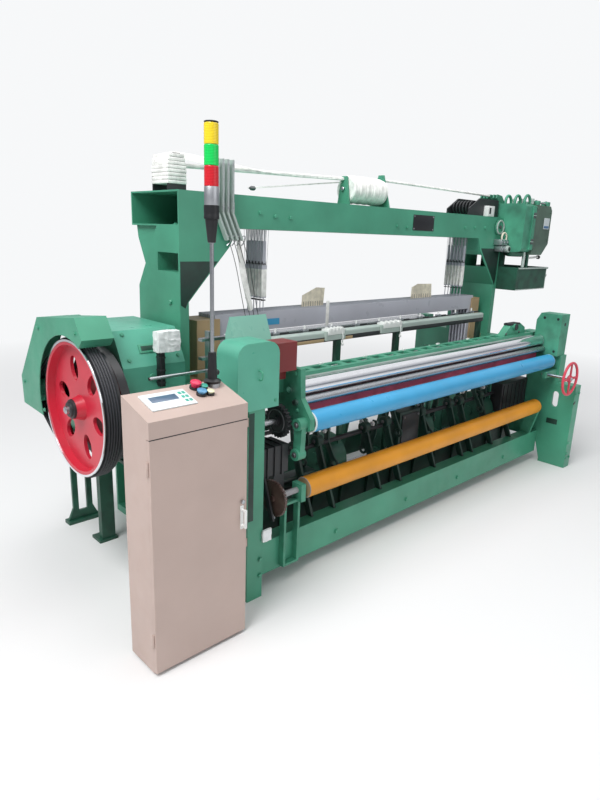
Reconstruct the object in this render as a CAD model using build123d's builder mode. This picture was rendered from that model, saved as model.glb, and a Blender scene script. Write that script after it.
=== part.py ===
"""Shuttleless loom with its control cabinet.

Millimetres. X runs along the loom from the drive end to the dobby end, Y from the weaver
to the warp beam, Z up. The origin is on the floor at the centre of the front left anchor hole.
"""
import os
from math import cos, radians, sin

from build123d import *

os.makedirs("parts", exist_ok=True)

# Side frames and beams
frame_spacing = 2995
flange_width = 90
frame_rib = 16
frame_web = 24
left_front = -70
right_front = -270
frame_back = 1230
frame_top = 950
foot_length = 210
foot_height = 26
anchor_radius = 11
anchor_inset = 70
leg_height = 190
beam_front = -20
beam_depth = 80
beam_low = 75
beam_high = 250
breast_front = 95
breast_depth = 105
breast_low = 950
breast_high = 1030
back_rest_height = 985
back_rest_radius = 55
warp_height = 560
warp_radius = 80

# Columns and top beam
column_front = 520
column_depth = 400
column_width = 50
column_outer = 10
column_top = 1715
flare_reach = 345
top_beam_depth = 450
top_beam_height = 165
top_beam_wall = 8

# Rollers: height, distance behind the frame datum and radius
roller_start = 335
roller_end = 2880
journal_radius = 15
running_gap = 0.05
chrome_y, chrome_z, chrome_radius = 40, 975, 42
guide_y, guide_z, guide_radius = 0, 918, 20
takeup_y, takeup_z, takeup_radius = 115, 858, 75
press_y, press_z, press_radius = -60, 828, 53
cloth_y, cloth_z, cloth_radius = -40, 480, 54
cloth_end = 2800
bracket_thickness = 30
boss_reach = 50
arm_height = 675

# Take-up drive at the left and the ratchet wheel of the cloth roller
gear_y, gear_z = 45, 830
gear_root, gear_tip, gear_teeth = 74, 84, 24
gear_start, gear_width = 215, 25
gear_shaft = 13
gearbox_floor, gearbox_roof = 590, 730
ratchet_start, ratchet_root, ratchet_tip, ratchet_teeth = 130, 84, 92, 30
ratchet_stub = ratchet_start - 10

# Shedding
frame_count = 6
frame_pitch = 28
frame_thickness = 12
harness_front = 590
heddle_start = 245
heddle_end_inset = 205
heddle_end = frame_spacing - heddle_end_inset
heddle_low = 800
heddle_high = 1270
heddle_rail = 105
heddle_foot_rail = 50
heddle_stile = 60
cable_radius = 3
cable_inset = 335
cable_right_inset = 190
slot_clearance = 0.5
guide_reach = 25

# Sley
rocking_y, rocking_z, rocking_radius = 430, 250, 24
sley_low, sley_high = 860, 930
sley_front, sley_depth = 350, 95
rail_left, rail_right = 330, 2590
rail_low, rail_high = 1105, 1165
sword_positions = (300, 1100, 1500, 2200, 2690)
clamp_spans = ((850, 1010), (1350, 1560))

# Cam boxes that drive the sley
cam_positions = (817, 1700, 2480)
cam_y, cam_z, cam_radius, cam_width = 300, 435, 140, 110
middle_front, middle_low, middle_high = 640, 200, 330

# Drive
drive_y, drive_z = 572, 899
wheel_radius = 316
wheel_start, wheel_width = -550, 85
brake_start, brake_width, brake_radius = -440, 40, 275
shaft_radius = 22
guard_side, guard_width, guard_wall = -572, 145, 4
guard_gap = 20
gearbox_left = -370
motor_y, motor_z, motor_radius = 1040, 885, 95
pulley_radius = 58
belt_gap, belt_thickness = 0.3, 8
stand_height = 640

# Cabinet
cabinet_left, cabinet_width = -621, 439
cabinet_front, cabinet_depth = -232, 195
cabinet_height = 985
console_front, console_back = cabinet_height + 65, cabinet_height + 122
sheet = 2
door_thickness = 18
foot_gap = 10
bracket_low = 300

right_frame_x = frame_spacing
inner_left = flange_width / 2
inner_right = right_frame_x - flange_width / 2
beam_bottom = column_top
beam_top = beam_bottom + top_beam_height
column_back = column_front + column_depth
harness_back = harness_front + frame_pitch * (frame_count - 1) + frame_thickness


def block(x0, x1, y0, y1, z0, z1, mode=Mode.ADD):
    """A box between two corners."""
    with Locations(((x0 + x1) / 2, (y0 + y1) / 2, (z0 + z1) / 2)):
        Box(x1 - x0, y1 - y0, z1 - z0, mode=mode)


def bar_x(x0, x1, y, z, radius, mode=Mode.ADD):
    """A round bar along X."""
    with Locations(Location(((x0 + x1) / 2, y, z), (0, 90, 0))):
        Cylinder(radius, x1 - x0, mode=mode)


def bar_y(x, y0, y1, z, radius, mode=Mode.ADD):
    """A round bar along Y."""
    with Locations(Location((x, (y0 + y1) / 2, z), (90, 0, 0))):
        Cylinder(radius, y1 - y0, mode=mode)


def bar_z(x, y, z0, z1, radius, mode=Mode.ADD):
    """A round bar along Z."""
    with Locations((x, y, (z0 + z1) / 2)):
        Cylinder(radius, z1 - z0, mode=mode)


def plate_yz(points, x0, x1, mode=Mode.ADD):
    """An outline in Y and Z, made thick along X."""
    with BuildSketch(Plane.YZ.offset(x0)) as profile:
        with BuildLine():
            Polyline(*points, close=True)
        make_face()
    extrude(profile.sketch, amount=x1 - x0, mode=mode)


def plate_xz(points, y0, y1, mode=Mode.ADD):
    """An outline in X and Z, made thick along Y."""
    with BuildSketch(Plane.XZ.offset(-y1)) as profile:
        with BuildLine():
            Polyline(*points, close=True)
        make_face()
    extrude(profile.sketch, amount=y1 - y0, mode=mode)


def hexagon_z(x, y, z0, z1, radius):
    """A hexagonal bar along Z."""
    with BuildSketch(Plane.XY.offset(z0)) as profile:
        with Locations((x, y)):
            RegularPolygon(radius, 6)
    extrude(profile.sketch, amount=z1 - z0)


def rod(start, end, radius):
    """A round bar between two points."""
    direction = Vector(*end) - Vector(*start)
    with BuildSketch(Plane(origin=start, z_dir=direction)) as profile:
        Circle(radius)
    extrude(profile.sketch, amount=direction.length)


def toothed_outline(y, z, teeth, flanks):
    """Points round a toothed wheel; flanks holds (share of the pitch, radius) pairs."""
    points = []
    for tooth in range(teeth):
        for share, radius in flanks:
            angle = radians(360 * (tooth + share) / teeth)
            points.append((y + radius * cos(angle), z + radius * sin(angle)))
    return points


def finish(part, name):
    """Name a finished piece and write it."""
    part.label = name
    export_step(part, f"parts/{name}.step")


# Side frames: a web on the inner side with a rib round its outline and its windows, on two feet
def side_outline(front):
    """The outline of a side frame in Y and Z."""
    return [
        (front, foot_height),
        (front + foot_length, foot_height),
        (front + foot_length + 50, leg_height),
        (frame_back - foot_length - 50, leg_height),
        (frame_back - foot_length, foot_height),
        (frame_back, foot_height),
        (frame_back, frame_top),
        (breast_front, frame_top),
    ]


window_low = 370
window_high = 770
front_window = (130, 370)
middle_window = (510, 790)
back_window = (870, 1140)
windows = (front_window, middle_window, back_window)


def side_frame(x, outside, top_steps, front):
    """One side frame, centred on x, with its recess towards outside, -1 or 1 along X."""
    outline = side_outline(front) + top_steps
    half = flange_width / 2
    plate_yz(outline, x - half, x + half)
    with BuildSketch(Plane.YZ.offset(x + outside * half)) as recess:
        with BuildLine():
            Polyline(*outline, close=True)
        make_face()
        offset(amount=-frame_rib, mode=Mode.REPLACE, kind=Kind.INTERSECTION)
        for start, end in windows:
            with Locations(((start + end) / 2, (window_low + window_high) / 2)):
                Rectangle(
                    end - start + 2 * frame_rib,
                    window_high - window_low + 2 * frame_rib,
                    mode=Mode.SUBTRACT,
                )
    extrude(recess.sketch, amount=-outside * (flange_width - frame_web), mode=Mode.SUBTRACT)
    with BuildSketch(Plane.YZ.offset(x - half)) as openings:
        for start, end in windows:
            with Locations(((start + end) / 2, (window_low + window_high) / 2)):
                Rectangle(end - start, window_high - window_low)
        chamfer(openings.vertices(), 18)
    extrude(openings.sketch, amount=flange_width, mode=Mode.SUBTRACT)
    for y in (front, frame_back - foot_length):
        block(x - half, x + half, y, y + foot_length, 0, foot_height)
    for y in (front + anchor_inset, frame_back - anchor_inset):
        bar_z(x, y, -1, foot_height + frame_rib + 1, anchor_radius, mode=Mode.SUBTRACT)
    bar_x(x - half, x + half, rocking_y, rocking_z, 2 * rocking_radius)
    bar_x(x - half - 1, x + half + 1, rocking_y, rocking_z, rocking_radius + running_gap, mode=Mode.SUBTRACT)
    block(x - half, x + half, frame_back - 110, frame_back, frame_top, back_rest_height + 55)
    bar_x(
        x - half - 1, x + half + 1, frame_back - 55, back_rest_height, journal_radius + running_gap,
        mode=Mode.SUBTRACT,
    )
    bar_x(x - half, x + half, frame_back - 45, warp_height, 45)
    bar_x(x - half - 1, x + half + 1, frame_back - 45, warp_height, 25 + running_gap, mode=Mode.SUBTRACT)


with BuildPart() as left_side_frame:
    side_frame(0, -1, [(left_front, frame_top)], left_front)
finish(left_side_frame.part, "left_side_frame")

hand_x, hand_y, hand_z = 2786, -280, 744
hand_radius = 128
hand_shaft = 10
bearing_front = -110
casting_seat = 872
casting_front, casting_back, casting_high = -115, 80, 1185
casting_right = inner_right + 70
front_step = 660
with BuildPart() as right_side_frame:
    steps = [
        (breast_front, casting_seat),
        (-125, casting_seat),
        (-125, front_step),
        (right_front, front_step),
    ]
    side_frame(right_frame_x, 1, steps, right_front)
    with BuildSketch(Plane.YZ.offset(inner_right)) as grip_slot:
        with Locations((right_front + 145, 530)):
            SlotOverall(125, 50, rotation=90)
    extrude(grip_slot.sketch, amount=flange_width, mode=Mode.SUBTRACT)
    for y, z in ((press_y, press_z), (takeup_y, takeup_z)):
        bar_x(inner_right, inner_right + flange_width, y, z, 23)
        bar_x(
            inner_right - 1, inner_right + flange_width + 1, y, z, journal_radius + running_gap,
            mode=Mode.SUBTRACT,
        )
    block(hand_x - 25, inner_right, bearing_front, bearing_front + 30, hand_z - 26, hand_z + 22)
    bar_y(
        hand_x, bearing_front - 1, bearing_front + 31, hand_z, hand_shaft + running_gap,
        mode=Mode.SUBTRACT,
    )
finish(right_side_frame.part, "right_side_frame")

# Cross beams, C sections that open to the back
for name, y, low, high in (
    ("front_cross_beam", beam_front, beam_low, beam_high),
    ("middle_cross_beam", middle_front, middle_low, middle_high),
    ("rear_cross_beam", 1120, 320, 440),
):
    with BuildPart() as cross_beam:
        block(inner_left, inner_right, y, y + beam_depth, low, high)
        block(inner_left, inner_right, y + 10, y + beam_depth, low + 10, high - 10, mode=Mode.SUBTRACT)
    finish(cross_beam.part, name)

# Breast beam with pockets along its top
pocket_count = 24
with BuildPart() as breast_beam:
    block(
        -flange_width / 2, right_frame_x + flange_width / 2, breast_front, breast_front + breast_depth,
        breast_low, breast_high,
    )
    with BuildSketch(Plane.XY.offset(breast_high)):
        with Locations(((inner_left + inner_right) / 2, breast_front + breast_depth / 2)):
            with GridLocations((inner_right - inner_left) / pocket_count, 1, pocket_count, 1):
                Rectangle(80, 50)
    extrude(amount=-16, mode=Mode.SUBTRACT)
finish(breast_beam.part, "breast_beam")

with BuildPart() as breast_castings:
    plate_xz(
        [
            (2470, breast_high),
            (2500, breast_high + 20),
            (2560, breast_high + 70),
            (2700, breast_high + 82),
            (2780, breast_high + 45),
            (2790, breast_high),
        ],
        breast_front + 20, breast_front + 75,
    )
    bar_y(2613, breast_front + 5, breast_front + 90, breast_high + 58, 24)
finish(breast_castings.part, "breast_castings")


# Columns: a folded head that flares inwards to carry the top beam
def column(outer, sign):
    """A column whose outer face is at X = outer, flaring along sign."""
    side = [
        (column_front, frame_top),
        (column_front, column_top),
        (column_front + 202, column_top),
        (column_front + 300, 1562),
        (column_back - 5, 1412),
        (column_back, 1190),
        (column_back, frame_top),
    ]
    front = [
        (outer, frame_top),
        (outer + sign * column_width, frame_top),
        (outer + sign * column_width, 1356),
        (outer + sign * 217, 1536),
        (outer + sign * 298, 1623),
        (outer + sign * flare_reach, column_top),
        (outer, column_top),
    ]
    start = min(outer, outer + sign * flare_reach)
    plate_yz(side, start, start + flare_reach)
    plate_xz(front, column_front, column_back, mode=Mode.INTERSECT)
    block(
        outer - 1 if sign > 0 else outer - flare_reach, outer + flare_reach if sign > 0 else outer + 1,
        column_front + 10, column_front + 200, 1500, 1590, mode=Mode.SUBTRACT,
    )
    gusset = [
        (column_front + 190, column_top),
        (column_front + 435, column_top),
        (column_front + 423, 1654),
        (column_front + 310, 1432),
        (column_front + 280, 1530),
    ]
    plate_yz(gusset, outer + sign * 26 - 6, outer + sign * 26 + 6)


with BuildPart() as left_column:
    column(-column_outer, 1)
finish(left_column.part, "left_column")

with BuildPart() as right_column:
    column(right_frame_x + column_outer, -1)
finish(right_column.part, "right_column")

# Top beam: a hollow box, open at its ends, with a slot for the cables of each harness side
cable_left = heddle_start + cable_inset
cable_right = heddle_end - cable_right_inset
slot_length = 90
with BuildPart() as top_beam:
    block(
        -column_outer, right_frame_x + column_outer, column_front, column_front + top_beam_depth,
        beam_bottom, beam_top,
    )
    block(
        -column_outer - 1, right_frame_x + column_outer + 1,
        column_front + top_beam_wall, column_front + top_beam_depth - top_beam_wall,
        beam_bottom + top_beam_wall, beam_top - top_beam_wall, mode=Mode.SUBTRACT,
    )
    for x in (cable_left, cable_right):
        block(
            x - slot_length / 2, x + slot_length / 2, harness_front - 10, harness_back + 10,
            beam_bottom - 1, beam_bottom + top_beam_wall + 1, mode=Mode.SUBTRACT,
        )
finish(top_beam.part, "top_beam")

# Heddle frames, each with its two cables and adjusters
for index in range(frame_count):
    y0 = harness_front + index * frame_pitch
    y1 = y0 + frame_thickness
    middle = (y0 + y1) / 2
    with BuildPart() as heddle_frame:
        block(heddle_start, heddle_end, y0, y1, heddle_high - heddle_rail, heddle_high)
        block(heddle_start, heddle_end, y0, y1, heddle_low, heddle_low + heddle_foot_rail)
        for x in (heddle_start, heddle_end - heddle_stile):
            block(x, x + heddle_stile, y0, y1, heddle_low, heddle_high)
        for x in (cable_left, cable_right):
            hexagon_z(x, middle, heddle_high - 5, beam_bottom + 70, cable_radius)
            block(x - 16, x + 16, middle - 5, middle + 5, 1345, 1525)
            block(x - 11, x + 11, middle - 4, middle + 4, 1535, 1655)
    finish(heddle_frame.part, f"heddle_frame_{index + 1}")

# Heddle guides: slotted blocks that hold the ends of the frames
guide_low = heddle_low + 60
guide_high = heddle_high - 20
guide_front, guide_back = harness_front - 12, harness_back + 12
with BuildPart() as heddle_guides:
    block(inner_left, heddle_start + guide_reach, guide_front, guide_back, guide_low, frame_top)
    block(inner_left + 80, heddle_start + guide_reach, guide_front, guide_back, frame_top, guide_high)
    block(heddle_end - guide_reach, inner_right, guide_front, guide_back, guide_low, frame_top)
    block(heddle_end - guide_reach, inner_right - 80, guide_front, guide_back, frame_top, guide_high)
    for index in range(frame_count):
        y0 = harness_front + index * frame_pitch
        block(
            heddle_start - slot_clearance, heddle_end + slot_clearance,
            y0 - slot_clearance, y0 + frame_thickness + slot_clearance,
            guide_low - 1, guide_high + 1, mode=Mode.SUBTRACT,
        )
finish(heddle_guides.part, "heddle_guides")

# Rocking shaft and sley
sley_left, sley_right = 180, 2800
with BuildPart() as rocking_shaft:
    bar_x(-flange_width / 2, right_frame_x + flange_width / 2, rocking_y, rocking_z, rocking_radius)
finish(rocking_shaft.part, "rocking_shaft")

with BuildPart() as sley:
    block(sley_left, sley_right, sley_front, sley_front + sley_depth, sley_low, sley_high)
    for x in sword_positions:
        with BuildSketch(Plane.YZ.offset(x - 14)) as sword:
            with BuildLine():
                Spline((rocking_y - 46, rocking_z), (392, 430), (354, 640), (sley_front + 22, sley_low))
                Line((sley_front + 22, sley_low), (sley_front + 88, sley_low))
                Spline((sley_front + 88, sley_low), (416, 640), (462, 430), (rocking_y + 46, rocking_z))
                Line((rocking_y + 46, rocking_z), (rocking_y - 46, rocking_z))
            make_face()
        extrude(sword.sketch, amount=28)
        bar_x(x - 35, x + 35, rocking_y, rocking_z, 52)
    bar_x(
        sley_left, sley_right, rocking_y, rocking_z, rocking_radius + running_gap, mode=Mode.SUBTRACT,
    )
    for x in (rail_left + 30, clamp_spans[0][1] - 30, clamp_spans[1][1] - 15, rail_right - 30):
        block(x - 20, x + 20, sley_front + 20, sley_front + 50, sley_high, rail_low)
finish(sley.part, "sley")

with BuildPart() as sley_rail:
    block(rail_left, rail_right, sley_front + 15, sley_front + 65, rail_low, rail_high)
    fillet(sley_rail.edges().filter_by(Axis.X).group_by(Axis.Z)[-1], 14)
    for start, end in clamp_spans:
        block(start, end, sley_front - 3, sley_front + 16, rail_low + 8, rail_high)
        block(start + 20, end - 20, sley_front - 3, sley_front + 50, rail_high - 20, rail_high + 8)
finish(sley_rail.part, "sley_rail")

# Cam boxes: a drum, a web back to the rocking shaft and the middle beam, a post up to the breast beam
with BuildPart() as cam_casings:
    for x in cam_positions:
        bar_x(x - cam_width / 2, x + cam_width / 2, cam_y, cam_z, cam_radius)
        bar_x(x - cam_width / 2 - 14, x, cam_y, cam_z, cam_radius - 45)
        bar_x(x - cam_width / 2 - 24, x, cam_y, cam_z, 34)
        plate_yz(
            [
                (cam_y - 30, cam_z - 120),
                (rocking_y - 40, rocking_z - 50),
                (middle_front, middle_low),
                (middle_front, middle_high),
                (cam_y + 150, cam_z + 10),
                (cam_y + 60, cam_z + 120),
            ],
            x - 20, x + 20,
        )
        block(
            x + 17, x + 43, breast_front + breast_depth, breast_front + breast_depth + 22,
            cam_z, breast_high - 30,
        )
        bar_x(x - 45, x + 45, rocking_y, rocking_z, 46)
        bar_x(x - 46, x + 46, rocking_y, rocking_z, rocking_radius + running_gap, mode=Mode.SUBTRACT)
finish(cam_casings.part, "cam_casings")


# Rollers
def roller(start, end, y, z, radius, left_end, right_end):
    """A roller with a journal at each end."""
    bar_x(start, end, y, z, radius)
    bar_x(left_end, start, y, z, journal_radius)
    bar_x(end, right_end, y, z, journal_radius)


bracket_left = roller_start - 5 - bracket_thickness
casting_left = roller_end + 10
for name, y, z, radius, right_end in (
    ("chrome_roller", chrome_y, chrome_z, chrome_radius, casting_left + 60),
    ("guide_roller", guide_y, guide_z, guide_radius, casting_left + 60),
    ("take_up_roller", takeup_y, takeup_z, takeup_radius, inner_right + 60),
    ("press_roller", press_y, press_z, press_radius, inner_right + 60),
):
    with BuildPart() as front_roller:
        roller(roller_start, roller_end, y, z, radius, bracket_left - 15, right_end)
    finish(front_roller.part, name)

with BuildPart() as cloth_roller:
    roller(roller_start, cloth_end, cloth_y, cloth_z, cloth_radius, ratchet_stub, cloth_end + 50)
    ratchet = toothed_outline(cloth_y, cloth_z, ratchet_teeth, ((0, ratchet_root), (0.9, ratchet_tip)))
    plate_yz(ratchet, ratchet_start, ratchet_start + 12)
    bar_x(ratchet_start + 12, ratchet_start + 30, cloth_y, cloth_z, 32)
    bar_x(ratchet_start + 16, ratchet_start + 28, cloth_y, cloth_z, ratchet_root - 12)
finish(cloth_roller.part, "cloth_roller")

# Brackets that carry the rollers
with BuildPart() as left_roller_bracket:
    plate_yz(
        [
            (press_y - 42, press_z - 30),
            (press_y - 42, press_z + 25),
            (guide_y - 32, guide_z + 25),
            (-25, 1085),
            (breast_front, 1085),
            (breast_front, breast_low),
            (breast_front + breast_depth, breast_low),
            (breast_front + breast_depth, takeup_z - 30),
            (takeup_y, takeup_z - 48),
            (press_y, press_z - 45),
        ],
        bracket_left, bracket_left + bracket_thickness,
    )
    bar_x(bracket_left - boss_reach, bracket_left, press_y, press_z, 30)
    plate_yz(
        [
            (press_y - 26, press_z),
            (press_y + 26, press_z),
            (press_y + 32, arm_height),
            (press_y - 18, arm_height),
        ],
        bracket_left - 38, bracket_left - 8,
    )
    bar_x(bracket_left - boss_reach, bracket_left, press_y + 8, arm_height, 30)
    bar_x(bracket_left - boss_reach - 1, bracket_left + 1, press_y + 8, arm_height, 10, mode=Mode.SUBTRACT)
    for y, z in ((chrome_y, chrome_z), (guide_y, guide_z), (takeup_y, takeup_z), (press_y, press_z)):
        bar_x(
            bracket_left - boss_reach - 1, bracket_left + bracket_thickness + 1, y, z,
            journal_radius + running_gap, mode=Mode.SUBTRACT,
        )
finish(left_roller_bracket.part, "left_roller_bracket")

with BuildPart() as right_end_casting:
    plate_yz(
        [
            (casting_front, casting_seat),
            (casting_front, casting_high),
            (casting_back - 30, casting_high),
            (casting_back, casting_high - 55),
            (casting_back, casting_seat),
        ],
        casting_left, casting_right,
    )
    for y, z in ((chrome_y, chrome_z), (guide_y, guide_z)):
        bar_x(casting_left - 1, casting_left + 70, y, z, journal_radius + running_gap, mode=Mode.SUBTRACT)
finish(right_end_casting.part, "right_end_casting")

with BuildPart() as cloth_brackets:
    plate_yz(
        [
            (beam_front, beam_high),
            (beam_front + beam_depth, beam_high),
            (cloth_y + 40, cloth_z),
            (cloth_y + 20, cloth_z + 35),
            (cloth_y - 20, cloth_z + 35),
            (cloth_y - 40, cloth_z),
        ],
        cloth_end + 5, cloth_end + 5 + bracket_thickness,
    )
    stand_left, stand_right = 196, roller_start - 35
    stand_front, stand_rail = beam_front - 34, cloth_z - 45
    for x in (stand_left, stand_right - 14):
        block(x, x + 14, stand_front, beam_front, beam_low + 15, stand_rail)
    for z in (beam_low + 15, stand_rail - 12):
        block(stand_left, stand_right, stand_front, beam_front, z, z + 12)
    block(
        stand_right - 14, stand_right + bracket_thickness - 14, cloth_y - 34, cloth_y + 34,
        stand_rail - 12, cloth_z + 34,
    )
    for x in (stand_right - 14, cloth_end + 5):
        bar_x(
            x - 1, x + bracket_thickness + 1, cloth_y, cloth_z, journal_radius + running_gap,
            mode=Mode.SUBTRACT,
        )
finish(cloth_brackets.part, "cloth_brackets")

# Take-up drive: a box with its bearing plate, a chain case and a hanging lever, and a gear above it
with BuildPart() as take_up_gearbox:
    block(inner_left, inner_left + 27, gear_y - 50, gear_y + 50, gearbox_floor, gear_z + 55)
    block(inner_left + 27, gear_start + 20, gear_y - 70, gear_y + 60, gearbox_floor, gearbox_roof)
    for x in (100, 145, 190):
        block(x, x + 8, gear_y - 77, gear_y + 67, gearbox_floor - 6, gearbox_roof + 6)
    block(168, gear_start + 20, gear_y - 45, gear_y + 45, cloth_z, gearbox_floor)
    plate_yz(
        [
            (gear_y - 20, gearbox_floor),
            (gear_y - 48, gearbox_floor),
            (gear_y - 125, cloth_z - 98),
            (gear_y - 100, cloth_z - 105),
        ],
        inner_left + 55, inner_left + 65,
    )
    bar_x(
        inner_left - 1, inner_left + 28, gear_y, gear_z, gear_shaft + running_gap, mode=Mode.SUBTRACT,
    )
finish(take_up_gearbox.part, "take_up_gearbox")

with BuildPart() as take_up_gear:
    bar_x(inner_left + 5, gear_start + gear_width + 10, gear_y, gear_z, gear_shaft)
    tooth = ((0.0, gear_root), (0.3, gear_tip), (0.5, gear_tip), (0.8, gear_root))
    plate_yz(
        toothed_outline(gear_y, gear_z, gear_teeth, tooth), gear_start, gear_start + gear_width,
    )
    bar_x(gear_start - 14, gear_start, gear_y, gear_z, 2 * gear_shaft)
finish(take_up_gear.part, "take_up_gear")

# Rapier guide at the left: a rod and two rails on a plate that stands on the side frame
with BuildPart() as rapier_guide:
    block(-20, -4, 262, 298, frame_top, 1250)
    bar_x(-326, -10, 280, 1064, 8)
    for z in (1118, 1206):
        block(-60, 150, 262, 294, z, z + 14)
finish(rapier_guide.part, "rapier_guide")

# Back rest and warp beam
back_y = frame_back - 55
with BuildPart() as back_rest:
    roller(
        inner_left + 20, inner_right - 20, back_y, back_rest_height, back_rest_radius,
        -flange_width / 2, right_frame_x + flange_width / 2,
    )
finish(back_rest.part, "back_rest")

warp_y = frame_back - 45
with BuildPart() as warp_beam:
    bar_x(inner_left + 60, inner_right - 60, warp_y, warp_height, warp_radius)
    bar_x(-flange_width / 2, right_frame_x + flange_width / 2, warp_y, warp_height, 25)
finish(warp_beam.part, "warp_beam")

# Handwheel on its shaft
rim_sides = 28
with BuildPart() as handwheel:
    with BuildSketch(Plane.XZ.offset(-hand_y)):
        with Locations((hand_x, hand_z)):
            RegularPolygon(hand_radius, rim_sides)
            RegularPolygon(hand_radius - 20, rim_sides, mode=Mode.SUBTRACT)
    extrude(amount=9, both=True)
    chamfer(handwheel.edges().filter_by(Axis.Y, reverse=True), 5)
    with BuildSketch(Plane.XZ.offset(-hand_y)):
        with Locations((hand_x, hand_z)):
            Circle(26)
            with PolarLocations(0, 4):
                Rectangle(hand_radius - 8, 14, align=(Align.MIN, Align.CENTER))
    extrude(amount=6, both=True)
    bar_y(hand_x, hand_y, bearing_front + 45, hand_z, hand_shaft)
finish(handwheel.part, "handwheel")

# Drive: flywheel and brake drum on the main shaft
with BuildPart() as flywheel:
    with BuildSketch(Plane.XY):
        with BuildLine():
            Polyline(
                (wheel_start, wheel_radius - 24),
                (wheel_start, wheel_radius),
                (wheel_start + wheel_width, wheel_radius),
                (wheel_start + wheel_width, wheel_radius - 24),
                (wheel_start + 52, wheel_radius - 30),
                (wheel_start + 52, 58),
                (wheel_start + 90, 58),
                (wheel_start + 90, shaft_radius + running_gap),
                (wheel_start - 2, shaft_radius + running_gap),
                (wheel_start - 2, 46),
                (wheel_start + 36, 60),
                (wheel_start + 36, wheel_radius - 30),
                close=True,
            )
        make_face()
    revolve(axis=Axis.X)
    with BuildSketch(Plane.YZ.offset(wheel_start)):
        with PolarLocations(0.58 * wheel_radius, 6, 15):
            Ellipse(58, 38)
    extrude(amount=wheel_width + 10, mode=Mode.SUBTRACT)
flywheel.part = flywheel.part.moved(Location((0, drive_y, drive_z)))
finish(flywheel.part, "flywheel")

with BuildPart() as brake_drum:
    bar_x(brake_start, brake_start + brake_width, drive_y, drive_z, brake_radius)
    bar_x(brake_start - 1, brake_start + 20, drive_y, drive_z, brake_radius - 30, mode=Mode.SUBTRACT)
    bar_x(brake_start, brake_start + 21, drive_y, drive_z, 60)
    bar_x(
        brake_start - 1, brake_start + brake_width + 1, drive_y, drive_z, shaft_radius + running_gap,
        mode=Mode.SUBTRACT,
    )
finish(brake_drum.part, "brake_drum")

with BuildPart() as main_shaft:
    bar_x(wheel_start - 14, gearbox_left + 90, drive_y, drive_z, shaft_radius)
finish(main_shaft.part, "main_shaft")

guard_outline = [
    (871, 1281),
    (452, 1328),
    (387, 1240),
    (834, 794),
    (1139, 805),
    (1146, 948),
]
with BuildPart() as belt_guard:
    plate_yz(guard_outline, guard_side, guard_side + guard_width)
    with BuildSketch(Plane.YZ.offset(guard_side + guard_wall)):
        with BuildLine():
            Polyline(*guard_outline, close=True)
        make_face()
        offset(amount=-guard_wall, mode=Mode.REPLACE, kind=Kind.INTERSECTION)
    extrude(amount=guard_width, mode=Mode.SUBTRACT)
    bar_x(
        guard_side - 1, guard_side + guard_width + 1, drive_y, drive_z, wheel_radius + guard_gap,
        mode=Mode.SUBTRACT,
    )
    block(guard_side + guard_wall, guard_side + guard_width + 1, 880, 1130, 780, 812, mode=Mode.SUBTRACT)
    block(guard_side + guard_width - guard_wall, gearbox_left, 845, 868, 1200, 1281)
finish(belt_guard.part, "belt_guard")

# Belt loop round the flywheel and the motor pulley
belt_start, belt_end = -540, -480
with BuildPart() as drive_belt:
    with BuildSketch(Plane.YZ.offset(belt_start)):
        for grow, mode in ((belt_gap + belt_thickness, Mode.ADD), (belt_gap, Mode.SUBTRACT)):
            with BuildSketch(mode=mode):
                with Locations((drive_y, drive_z)):
                    Circle(wheel_radius + grow)
                with Locations((motor_y, motor_z)):
                    Circle(pulley_radius + grow)
                make_hull()
    extrude(amount=belt_end - belt_start)
finish(drive_belt.part, "drive_belt")

# Gearbox, motor and the stand under them
gearbox_front, gearbox_back = 430, 930
gearbox_low, gearbox_shoulder, gearbox_high = stand_height, 1085, 1245
post_low, post_high = gearbox_shoulder - 100, gearbox_shoulder + 80
with BuildPart() as gearbox:
    plate_yz(
        [
            (gearbox_front, gearbox_low),
            (gearbox_front, gearbox_shoulder),
            (gearbox_front + 90, gearbox_high),
            (gearbox_back, gearbox_high),
            (gearbox_back, gearbox_low),
        ],
        gearbox_left, -flange_width / 2,
    )
    block(-200, -178, gearbox_front - 34, gearbox_front, post_low, post_high)
    block(-212, -104, gearbox_front - 46, gearbox_front - 4, post_high - 10, post_high + 78)
    bar_x(gearbox_left - 1, gearbox_left + 100, drive_y, drive_z, shaft_radius + running_gap, mode=Mode.SUBTRACT)
finish(gearbox.part, "gearbox")

with BuildPart() as drive_motor:
    bar_x(-400, -80, motor_y, motor_z, motor_radius)
    bar_x(-545, -400, motor_y, motor_z, 16)
    bar_x(-545, -470, motor_y, motor_z, pulley_radius)
    block(-360, -120, motor_y - 80, motor_y + 80, stand_height, motor_z - 40)
finish(drive_motor.part, "drive_motor")

stand_plate = 16
back_leg, front_leg = 1222, 900
with BuildPart() as drive_stand:
    block(
        -380, -flange_width / 2, gearbox_front, frame_back + 40, stand_height - stand_plate, stand_height,
    )
    plate_xz(
        [
            (-322, stand_height - stand_plate),
            (-322, 90),
            (-362, 0),
            (-166, 0),
            (-206, 90),
            (-206, stand_height - stand_plate),
        ],
        back_leg, back_leg + 18,
    )
    for low, high in ((70, 330), (370, stand_height - 60)):
        block(-290, -238, back_leg - 1, back_leg + 19, low, high, mode=Mode.SUBTRACT)
    block(-362, -166, back_leg - 22, back_leg + 40, 0, 20)
    block(-300, -223, front_leg, front_leg + 8, 0, stand_height - stand_plate)
    for x in (-300, -231):
        block(x, x + 8, front_leg, front_leg + 40, 0, stand_height - stand_plate)
    block(-320, -213, front_leg - 10, front_leg + 90, 0, stand_plate)
finish(drive_stand.part, "drive_stand")

# Covers at the front left corner
with BuildPart() as gear_cover:
    block(-112, 120, -75, 75, frame_top, 1248)
    fillet(gear_cover.edges().filter_by(Axis.Y).group_by(Axis.Z)[-1], 60)
finish(gear_cover.part, "gear_cover")

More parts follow.
